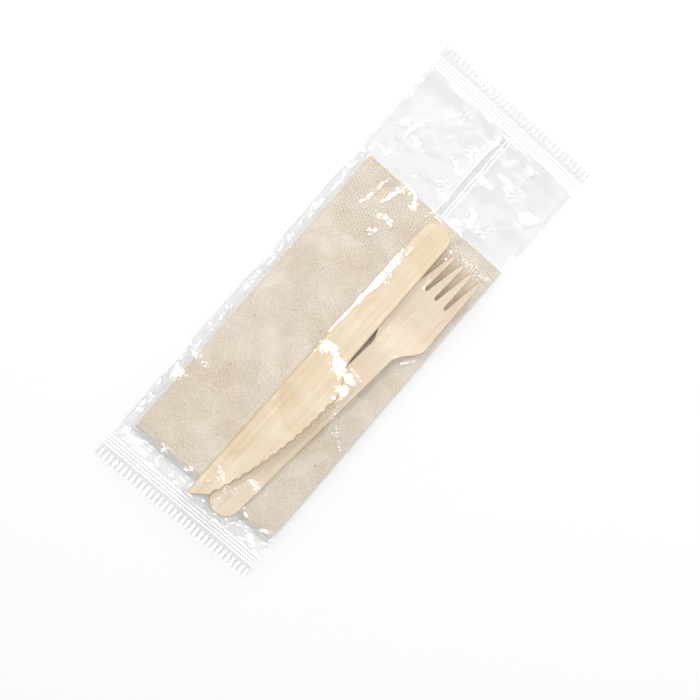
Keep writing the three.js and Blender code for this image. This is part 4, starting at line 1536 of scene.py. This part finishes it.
    def add_fin(self, maker: MeshMaker) -> None:
        """Adds the fin seal that lies flat under the pouch, with its weld lines along it."""
        along = np.linspace(-self.seal_start + 12.0, self.seal_start - 2.0, 60)
        welds = [w + part * self.weld_half for w in self.fin_welds for part in (-1, 0, 1)]
        across = np.array(sorted([self.fin_root - self.fin_width, *welds, self.fin_root]))
        raised = np.array([any(abs(v - w) < 1e-6 for w in self.fin_welds) for v in across])
        x, y = np.meshgrid(along, across, indexing="ij")
        z = self.rest_height(x) + self.fin_gap + raised * self.weld_half * self.comb_slope
        weld = np.full(x.size, self.fin_weld)
        top = maker.add(np.stack((x, y, z + 2 * self.film), -1), weld=weld)
        low = maker.add(np.stack((x, y, z), -1), weld=weld)
        maker.slab(top, low)

    def crimp_sizes(self) -> dict[str, float]:
        """Sizes of the crimped seals, by the names of the tree's inputs."""
        return {
            "Seal Start": self.seal_start * MM,
            "Rib Count": float(self.ribs),
            "Rib Pitch": self.rib_pitch * MM,
            "Rib Front": self.rib_front * MM,
            "Rib Back": self.rib_back * MM,
            "Rib Slope": self.rib_slope,
            "Comb Pitch": self.comb_pitch * MM,
            "Comb Front": self.comb_front * MM,
            "Comb Back": self.comb_back * MM,
            "Comb Slope": self.comb_slope,
        }

    def crimp_tree(self) -> Graph:
        """Geometry tree that crimps the end seals: ribs first, then a comb out to the cut edge.

        Returns:
            The tree, with the ribs' and the comb's sizes as inputs.
        """
        sizes = {name: SocketKind.VALUE for name in self.crimp_sizes()}
        kinds = {"Geometry": SocketKind.SHAPE, **sizes, "Finish": SocketKind.MATERIAL}
        g = new_group("crimped_seals", "GeometryNodeTree", kinds, {"Geometry": SocketKind.SHAPE})
        given = g.add("NodeGroupInput").outputs
        spot = g.add("ShaderNodeSeparateXYZ", {0: g.add("GeometryNodeInputPosition").outputs[0]})
        out = g.maths("SUBTRACT", g.maths("ABSOLUTE", spot.outputs["X"]), given["Seal Start"])

        def crimp(place: Socket, name: str) -> Socket:
            """Height of a row of crimps: a gentle front, a steep back and a flat between them."""
            pitch, front, back = given[f"{name} Pitch"], given[f"{name} Front"], given[f"{name} Back"]
            done = g.maths("MULTIPLY", g.maths("FRACT", g.maths("DIVIDE", place, pitch)), pitch)
            up = g.maths("DIVIDE", done, front, clamp=True)
            fallen = g.maths("DIVIDE", g.maths("SUBTRACT", done, front), back)
            down = g.maths("SUBTRACT", 1.0, fallen, clamp=True)
            crest = g.maths("MULTIPLY", front, given[f"{name} Slope"])
            return g.maths("MULTIPLY", g.maths("MINIMUM", up, down), crest)

        ribbed = g.maths("MULTIPLY", given["Rib Pitch"], given["Rib Count"])
        on_ribs = g.maths("MULTIPLY", g.maths("GREATER_THAN", out, 0.0), g.maths("LESS_THAN", out, ribbed))
        rib = g.maths("MULTIPLY", crimp(out, "Rib"), on_ribs)
        past_ribs = g.maths("SUBTRACT", g.maths("DIVIDE", out, given["Rib Pitch"]), given["Rib Count"])
        on_comb = g.ramp(past_ribs, 0.05, 0.5)
        tooth = g.maths("MULTIPLY", crimp(g.maths("MULTIPLY", spot.outputs["Y"], -1.0), "Comb"), on_comb)
        rise = g.add("ShaderNodeCombineXYZ", {"Z": g.maths("ADD", rib, tooth)})
        g.move_and_dress(given["Geometry"], rise.outputs[0], given["Finish"])
        return g

    def mark_crisp(self, piece: bpy.types.Object, x: Array, y: Array, z: Array) -> None:
        """Marks the sharp creases of the upper film and the crimped seals, which are shaded flat.

        Args:
            piece: The film's object, its upper film's points first.
            x: Places of those points along the pack.
            y: Places across it.
            z: Their heights.
        """
        mesh = piece.data
        place = np.stack((x, y, z), -1)
        facing = np.cross(place[1:, 1:] - place[:-1, :-1], place[:-1, 1:] - place[1:, :-1])
        facing /= np.linalg.norm(facing, axis=-1)[..., None]
        even = math.cos(math.radians(self.crisp))
        along = np.zeros(x.shape, bool)
        along[:-1, 1:-1] = (facing[:, :-1] * facing[:, 1:]).sum(-1) < even
        across = np.zeros(x.shape, bool)
        across[1:-1, :-1] = (facing[:-1] * facing[1:]).sum(-1) < even
        pairs = np.empty(2 * len(mesh.edges), np.int32)
        mesh.edges.foreach_get("vertices", pairs)
        pairs = np.sort(pairs.reshape(-1, 2), 1)
        first = np.minimum(pairs[:, 0], x.size - 1)
        upper = pairs[:, 1] < x.size
        gap = pairs[:, 1] - pairs[:, 0]
        sharp = upper & (((gap == x.shape[1]) & along.ravel()[first]) | ((gap == 1) & across.ravel()[first]))
        mesh.attributes.new("sharp_edge", "BOOLEAN", "EDGE").data.foreach_set("value", sharp)
        past = (self.seal_start + 0.05) * MM
        weld = np.empty(len(mesh.vertices), np.float32)
        mesh.attributes["weld"].data.foreach_get("value", weld)
        spot = np.empty(3 * len(mesh.vertices), np.float32)
        mesh.vertices.foreach_get("co", spot)
        crimped = (np.abs(spot[::3]) > past) | (weld > 0.3)
        smooth = [abs(p.normal.z) > 0.3 and not any(crimped[k] for k in p.vertices) for p in mesh.polygons]
        mesh.polygons.foreach_set("use_smooth", smooth)

    def build(self, tops: Sequence[Top]) -> bpy.types.Object:
        """Builds and dresses the pouch over its contents.

        Args:
            tops: Height of each content's upper face over places on the floor.

        Returns:
            The film's object.
        """
        x, y = self.plan()
        low = self.support(x, y, tops)
        low[[0, -1], :] = NOWHERE
        low[:, [0, -1]] = NOWHERE
        z = self.drape(x, y, low)
        z, marks = self.creased(x, y, z, low)
        rim = self.rim_height(x) + self.film
        for edge in (np.s_[0, :], np.s_[-1, :], np.s_[:, 0], np.s_[:, -1]):
            z[edge] = rim[edge]
        finish = self.finish.material()
        piece = self.build_mesh(x, y, z, marks).piece("film_pouch_skin", finish)
        self.mark_crisp(piece, x, y, z)
        run_nodes(piece, self.crimp_tree(), {**self.crimp_sizes(), "Finish": finish})
        return piece


@dataclass(frozen=True)
class Lamp:
    """A soft box: where it hangs as seen from the pack, its size, and how bright its face is."""

    name: str
    azimuth: float
    from_zenith: float
    distance: float
    size: tuple[float, float]
    radiance: float
    task: LampTask = LampTask.LIGHT

    def hang(self) -> None:
        """Hangs the lamp, facing the pack."""
        data = bpy.data.lights.new(self.name, "AREA")
        data.shape = "RECTANGLE"
        data.size, data.size_y = self.size
        data.energy = self.radiance * math.pi * self.size[0] * self.size[1]
        lamp = bpy.data.objects.new(self.name, data)
        a, e = math.radians(self.azimuth), math.radians(self.from_zenith)
        way = Vector((math.cos(a) * math.sin(e), math.sin(a) * math.sin(e), math.cos(e)))
        lamp.location = way * self.distance
        lamp.rotation_mode = "QUATERNION"
        lamp.rotation_quaternion = way.to_track_quat("Z", "Y")
        lamp.visible_camera = False
        lamp.visible_diffuse = self.task is LampTask.LIGHT
        lamp.visible_glossy = self.task is LampTask.GLINT
        bpy.context.scene.collection.objects.link(lamp)


@dataclass
class Studio:
    """White floor, soft light and the camera."""

    focal_pixels: float = 1741.0
    picture_pixels: float = 700.0
    sensor: float = 36.0
    camera_place: Place = (-38.22, 101.57, 778.53)
    camera_right: Place = (0.653082, -0.745679, 0.132087)
    camera_down: Place = (-0.756537, -0.650194, 0.069996)
    sky: Colour = (0.985, 0.992, 1.0)
    dome_top: float = 0.3
    dome_side: float = 1.55
    mirror_way: Place = (0.045, -0.137, 0.99)
    sheen_way: Place = (0.96, 0.28, 0.0)
    sheen_most: float = 1.2
    sheen_gain: float = 5.0
    ring: tuple[float, float] = (54.0, 68.0)
    ring_edge: float = 1.0
    far_edge: float = 4.0
    ring_radiance: float = 13.0
    ring_sides: tuple[float, float] = (0.3, 0.42)
    floor_half: float = 1500.0
    floor_drop: float = 0.03
    floor_finish: FloorFinish = FloorFinish()
    lamps: tuple[Lamp, ...] = (
        Lamp("key_box", 25.0, 38.0, 1.15, (1.7, 1.5), 1.42),
        Lamp("spine_box", 86.6, 35.2, 1.3, (0.65, 0.22), 20.0, LampTask.GLINT),
        Lamp("neck_box", 39.1, 31.2, 1.3, (0.2, 0.2), 20.0, LampTask.GLINT),
    )

    def camera(self) -> None:
        """Places the camera at the photograph's viewing angle."""
        data = bpy.data.cameras.new("camera")
        data.sensor_width = self.sensor
        data.lens = self.focal_pixels / self.picture_pixels * self.sensor
        data.clip_start, data.clip_end = 0.01, 20.0
        camera = bpy.data.objects.new("camera", data)
        right, down = Vector(self.camera_right).normalized(), Vector(self.camera_down).normalized()
        up = -down
        back = right.cross(up).normalized()
        turn = Matrix((right, up, back)).transposed()
        camera.matrix_world = Matrix.Translation(Vector(self.camera_place) * MM) @ turn.to_4x4()
        bpy.context.scene.collection.objects.link(camera)
        bpy.context.scene.camera = camera

    def world(self) -> None:
        """Lights the pack from all round at a plain level."""
        world = bpy.data.worlds.new("studio")
        world.use_nodes = True
        world.node_tree.nodes.clear()
        g = Graph(world.node_tree)
        path = g.add("ShaderNodeLightPath").outputs
        look = g.add("ShaderNodeTexCoord").outputs["Generated"]

        def along(way: Sequence[float]) -> Socket:
            """Share of the looked-at direction that goes one way."""
            return g.add("ShaderNodeVectorMath", {0: look, 1: way}, operation="DOT_PRODUCT").outputs["Value"]

        def within(degrees: float, edge: float) -> Socket:
            """One inside an angle round the mirrored way, and nothing past its soft edge."""
            low, high = (math.cos(math.radians(degrees + part)) for part in (edge, -edge))
            return g.ramp(level, low, high)

        inner, outer = self.ring
        level = along(self.mirror_way)
        soft = g.maths("MULTIPLY", along(self.sheen_way), self.sheen_gain)
        soft = g.maths("MINIMUM", g.maths("MAXIMUM", soft, 0.0), self.sheen_most)
        far = g.maths("SUBTRACT", 1.0, within(outer + self.far_edge / 2, self.far_edge / 2))
        outside = g.maths("SUBTRACT", 1.0, within(inner, self.ring_edge))
        ring = g.maths("MULTIPLY", within(outer, self.ring_edge), outside)
        sides = g.ramp(g.maths("ABSOLUTE", along((1.0, 0.0, 0.0))), *self.ring_sides)
        ring = g.maths("MULTIPLY", ring, sides)
        shade = g.maths("ADD", g.maths("MULTIPLY", soft, g.maths("SUBTRACT", 1.0, far)), far)
        tent = g.maths("MULTIPLY_ADD", ring, self.ring_radiance, shade)
        plain = g.maths("SUBTRACT", 1.0, g.maths("MAXIMUM", path["Is Camera Ray"], path["Is Glossy Ray"]))
        dome = g.ramp(along((0.0, 0.0, 1.0)), 0.0, 1.0, self.dome_side, self.dome_top)
        lit = g.maths("MULTIPLY", plain, dome)
        shown = g.maths("ADD", path["Is Camera Ray"], g.maths("MULTIPLY", path["Is Glossy Ray"], tent))
        strength = g.maths("ADD", lit, shown)
        sky = g.add("ShaderNodeBackground", {"Color": (*self.sky, 1.0), "Strength": strength})
        g.add("ShaderNodeOutputWorld", {"Surface": sky.outputs[0]})
        bpy.context.scene.world = world

    def floor(self) -> None:
        """Lays the white floor just under the pack."""
        maker = MeshMaker()
        side = np.linspace(-self.floor_half, self.floor_half, 9)
        x, y = np.meshgrid(side, side, indexing="ij")
        maker.grid(maker.add(np.stack((x, y, np.full_like(x, -self.floor_drop)), -1)))
        maker.piece("floor", self.floor_finish.material())

    def build(self) -> None:
        """Sets up the camera, the light and the floor."""
        self.camera()
        self.world()
        self.floor()
        for lamp in self.lamps:
            lamp.hang()
        bpy.context.scene.view_settings.view_transform = "Standard"
        bpy.context.scene.cycles.transparent_max_bounces = 32


# Where the film is pulled taut and catches the light, in the order in which the facets are laid.
TAUT = (
    *leaning(Lean.SPINE, (
        ((-12.0, -0.2), (1.1, -1.0), (0.5, 0.5), (-12.2, 1.0)),
        ((0.5, -0.7), (6.9, -1.5), (14.3, -2.2), (13.6, 0.4), (6.7, 0.4), (-0.6, 0.6)),
        ((12.4, -1.5), (17.9, -3.4), (25.3, -3.0), (27.6, -1.9), (25.1, 0.3), (19.3, 0.3), (12.5, 0.5)),
        ((25.1, -2.9), (30.0, -3.0), (36.8, -1.5), (37.0, -0.4), (35.6, 0.1), (24.9, 0.2)),
        ((17.9, -4.1), (25.4, -4.6), (25.5, -3.8), (17.3, -3.4)),
        ((20.3, -5.8), (27.3, -5.5), (27.4, -4.7), (19.9, -5.3)),
        ((27.0, -4.4), (37.2, -3.0), (37.0, -2.2), (26.6, -3.6)),
        ((33.7, -3.1), (39.5, -4.1), (40.9, -4.0), (40.2, -2.9), (33.6, -2.3)),
    )),
    *leaning(Lean.NOSE, (
        ((-104.0, -9.5), (-98.0, -11.0), (-90.5, -2.0), (-104.0, -1.0)),
    )),
    *leaning(Lean.NOSE_SIDE, (
        ((-98.0, -11.0), (-96.2, -11.6), (-88.7, -2.2), (-90.5, -2.0)),
    )),
    *leaning(Lean.FAR, (
        ((-86.2, -15.4), (-86.0, -22.6), (-84.6, -22.6), (-84.6, -15.4)),
    )),
    *leaning(Lean.BLADE_ROOT, (
        ((-19.8, -3.8), (-16.5, -6.4), (-14.3, -6.0), (-14.3, -2.4), (-17.1, -0.1), (-21.4, -1.1)),
        ((-18.6, -9.4), (-17.2, -9.9), (-14.5, -5.8), (-17.9, -4.7)),
        ((-23.8, -12.8), (-24.8, -15.6), (-20.9, -16.7), (-17.4, -14.3), (-18.1, -9.8), (-21.7, -9.2)),
        ((-23.9, -18.0), (-24.1, -22.7), (-21.7, -23.5), (-19.4, -19.3), (-22.3, -14.6)),
        ((-31.6, -23.0), (-25.9, -23.3), (-25.4, -19.6), (-28.7, -17.7)),
        ((-33.9, -20.2), (-35.2, -23.4), (-32.5, -19.9), (-29.0, -17.7), (-29.9, -17.0)),
    )),
    *leaning(Lean.NEAR, (
        ((83.2, 9.0), (81.2, 5.2), (79.3, 1.3), (79.5, -0.2), (81.7, 3.2), (83.8, 7.8)),
        ((92.0, 5.2), (89.3, 3.5), (87.4, 1.2), (89.5, 1.2), (92.5, 3.7)),
    )),
    *leaning(Lean.FAR, (
        ((86.0, -5.0), (85.0, -8.4), (85.3, -12.4), (86.2, -14.0), (86.8, -10.2), (86.8, -6.3)),
        ((93.0, -10.8), (91.7, -14.5), (90.0, -21.9), (92.0, -21.6), (93.4, -18.4), (93.6, -13.4)),
    )),
    *leaning(Lean.FAR_CORNER, (
        ((85.1, -29.9), (83.2, -32.0), (83.3, -36.4), (87.6, -39.6), (89.2, -36.4), (88.6, -33.2)),
        ((86.4, -38.8), (90.6, -42.6), (88.8, -38.5), (88.2, -36.8)),
        ((87.4, -31.2), (89.6, -31.6), (88.3, -33.6)),
    )),
    *leaning(Lean.SIDE, (
        ((69.6, -25.8), (71.9, -26.7), (74.3, -26.0), (74.2, -25.2), (71.8, -25.7), (69.8, -24.7)),
    )),
    *leaning(Lean.FAR, (
        ((79.0, 29.0), (78.0, 27.2), (78.2, 25.0), (79.1, 24.3), (80.0, 27.8)),
    )),
    *leaning(Lean.SIDE, (
        ((77.4, 32.6), (77.3, 31.3), (82.0, 30.1), (85.8, 29.5), (82.0, 31.7)),
        ((93.0, -1.4), (97.4, -1.9), (105.5, -2.7), (107.4, -2.3), (100.2, -0.7), (93.0, -0.3)),
    )),
    *leaning(Lean.FAR, (
        ((103.5, -18.5), (101.5, -22.8), (104.1, -25.0), (105.4, -22.1)),
    )),
    *leaning(Lean.NEAR, (
        ((65.8, -19.6), (65.2, -20.4), (67.6, -23.9), (68.2, -23.4)),
    )),
    *leaning(Lean.SIDE, (
        ((39.4, 28.4), (43.5, 26.1), (50.2, 25.6), (48.4, 27.8)),
        ((48.6, 26.6), (50.8, 25.3), (57.4, 24.3), (56.6, 25.8)),
        ((46.0, 20.9), (49.2, 19.0), (53.8, 17.9), (54.2, 19.9), (49.9, 21.0)),
        ((52.8, 18.9), (57.5, 15.6), (58.2, 17.4), (54.3, 19.9)),
    )),
    *leaning(Lean.FAR, (
        ((59.4, 11.1), (60.2, 10.3), (61.2, 12.2), (61.2, 14.1), (59.9, 16.9)),
    )),
    *leaning(Lean.SIDE, (
        ((53.3, 6.8), (56.5, 8.1), (60.2, 10.2), (59.0, 11.3), (53.6, 8.7)),
    )),
    *leaning(Lean.FAR, (
        ((42.4, 16.7), (42.8, 13.8), (45.5, 13.4), (44.1, 15.9)),
        ((43.1, 10.4), (44.9, 10.0), (44.3, 12.2), (43.1, 13.3)),
        ((33.8, 15.2), (35.2, 15.4), (35.8, 17.3), (34.4, 17.7)),
        ((36.0, 14.4), (36.3, 12.8), (37.3, 13.0), (37.1, 14.5)),
    )),
    *leaning(Lean.SIDE, (
        ((-73.8, 40.7), (-69.2, 36.4), (-67.2, 39.8), (-66.2, 42.6), (-70.3, 42.6)),
        ((-59.7, 39.3), (-58.7, 36.0), (-57.2, 39.3), (-57.6, 42.6), (-58.2, 42.6)),
    )),
)
# Middles and reaches of the most crumpled patches, all at the empty end.
CRUMPLES = ((100.0, -12.0, 13.0), (78.0, 25.0, 10.0), (69.0, 5.0, 7.0), (95.0, 14.0, 7.0))
# The larger creases, each by its ridge and its width.
PLEATS = (
    Pleat(((-37.0, -24.6), (-32.0, -18.0)), 1.0),
    Pleat(((28.0, -22.0), (36.5, -15.0)), 1.8),
    Pleat(((-4.0, -28.5), (0.5, -31.5)), 1.4),
    Pleat(((-55.0, -5.6), (-40.0, -7.0)), 0.6, 0.16),
    Pleat(((67.0, 38.5), (68.2, 31.5)), 1.6),
    Pleat(((68.5, 31.6), (72.0, 30.0)), 1.2, 0.4),
    Pleat(((69.5, 3.0), (74.0, 7.0)), 1.5),
    Pleat(((66.0, 18.5), (68.3, 10.5)), 1.3),
    Pleat(((90.5, -25.2), (96.5, -23.8)), 1.3, 0.4),
    Pleat(((98.0, 4.0), (103.0, -4.0)), 1.5),
    Pleat(((100.0, 20.0), (104.5, 14.0)), 1.3),
    Pleat(((-47.5, 39.0), (-32.0, 42.6)), 1.7, 0.4),
    Pleat(((-15.5, 42.0), (-13.5, 39.0)), 1.5),
    Pleat(((-4.0, 42.5), (0.0, 41.0)), 1.7),
    Pleat(((26.5, 43.0), (27.5, 38.5)), 1.6),
    Pleat(((44.0, 43.0), (47.5, 38.0)), 1.5),
)


def main() -> None:
    """Builds the studio, then each piece of the pack in order, and reports it."""
    logging.basicConfig(level=logging.INFO, format="%(name)s: %(message)s")
    Studio().build()
    napkin, fork, knife = Napkin(), Fork(), Knife()
    pouch = FilmPouch(crumples=CRUMPLES, pleats=PLEATS, taut=TAUT)
    made = (
        (napkin.build(), "napkin", Slot.TISSUE),
        (fork.build(), "fork", Slot.FORK),
        (knife.build(), "knife", Slot.KNIFE),
        (pouch.build((napkin.top_at, fork.top_at, knife.top_at)), "film_pouch", Slot.FILM),
    )
    for piece, node, slot in made:
        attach(piece, "root")
        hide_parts(node)
        triangles = sum(len(p.vertices) - 2 for p in piece.data.polygons)
        log.info("%s: %d triangles", piece.name, triangles)


if __name__ == "__main__":
    main()
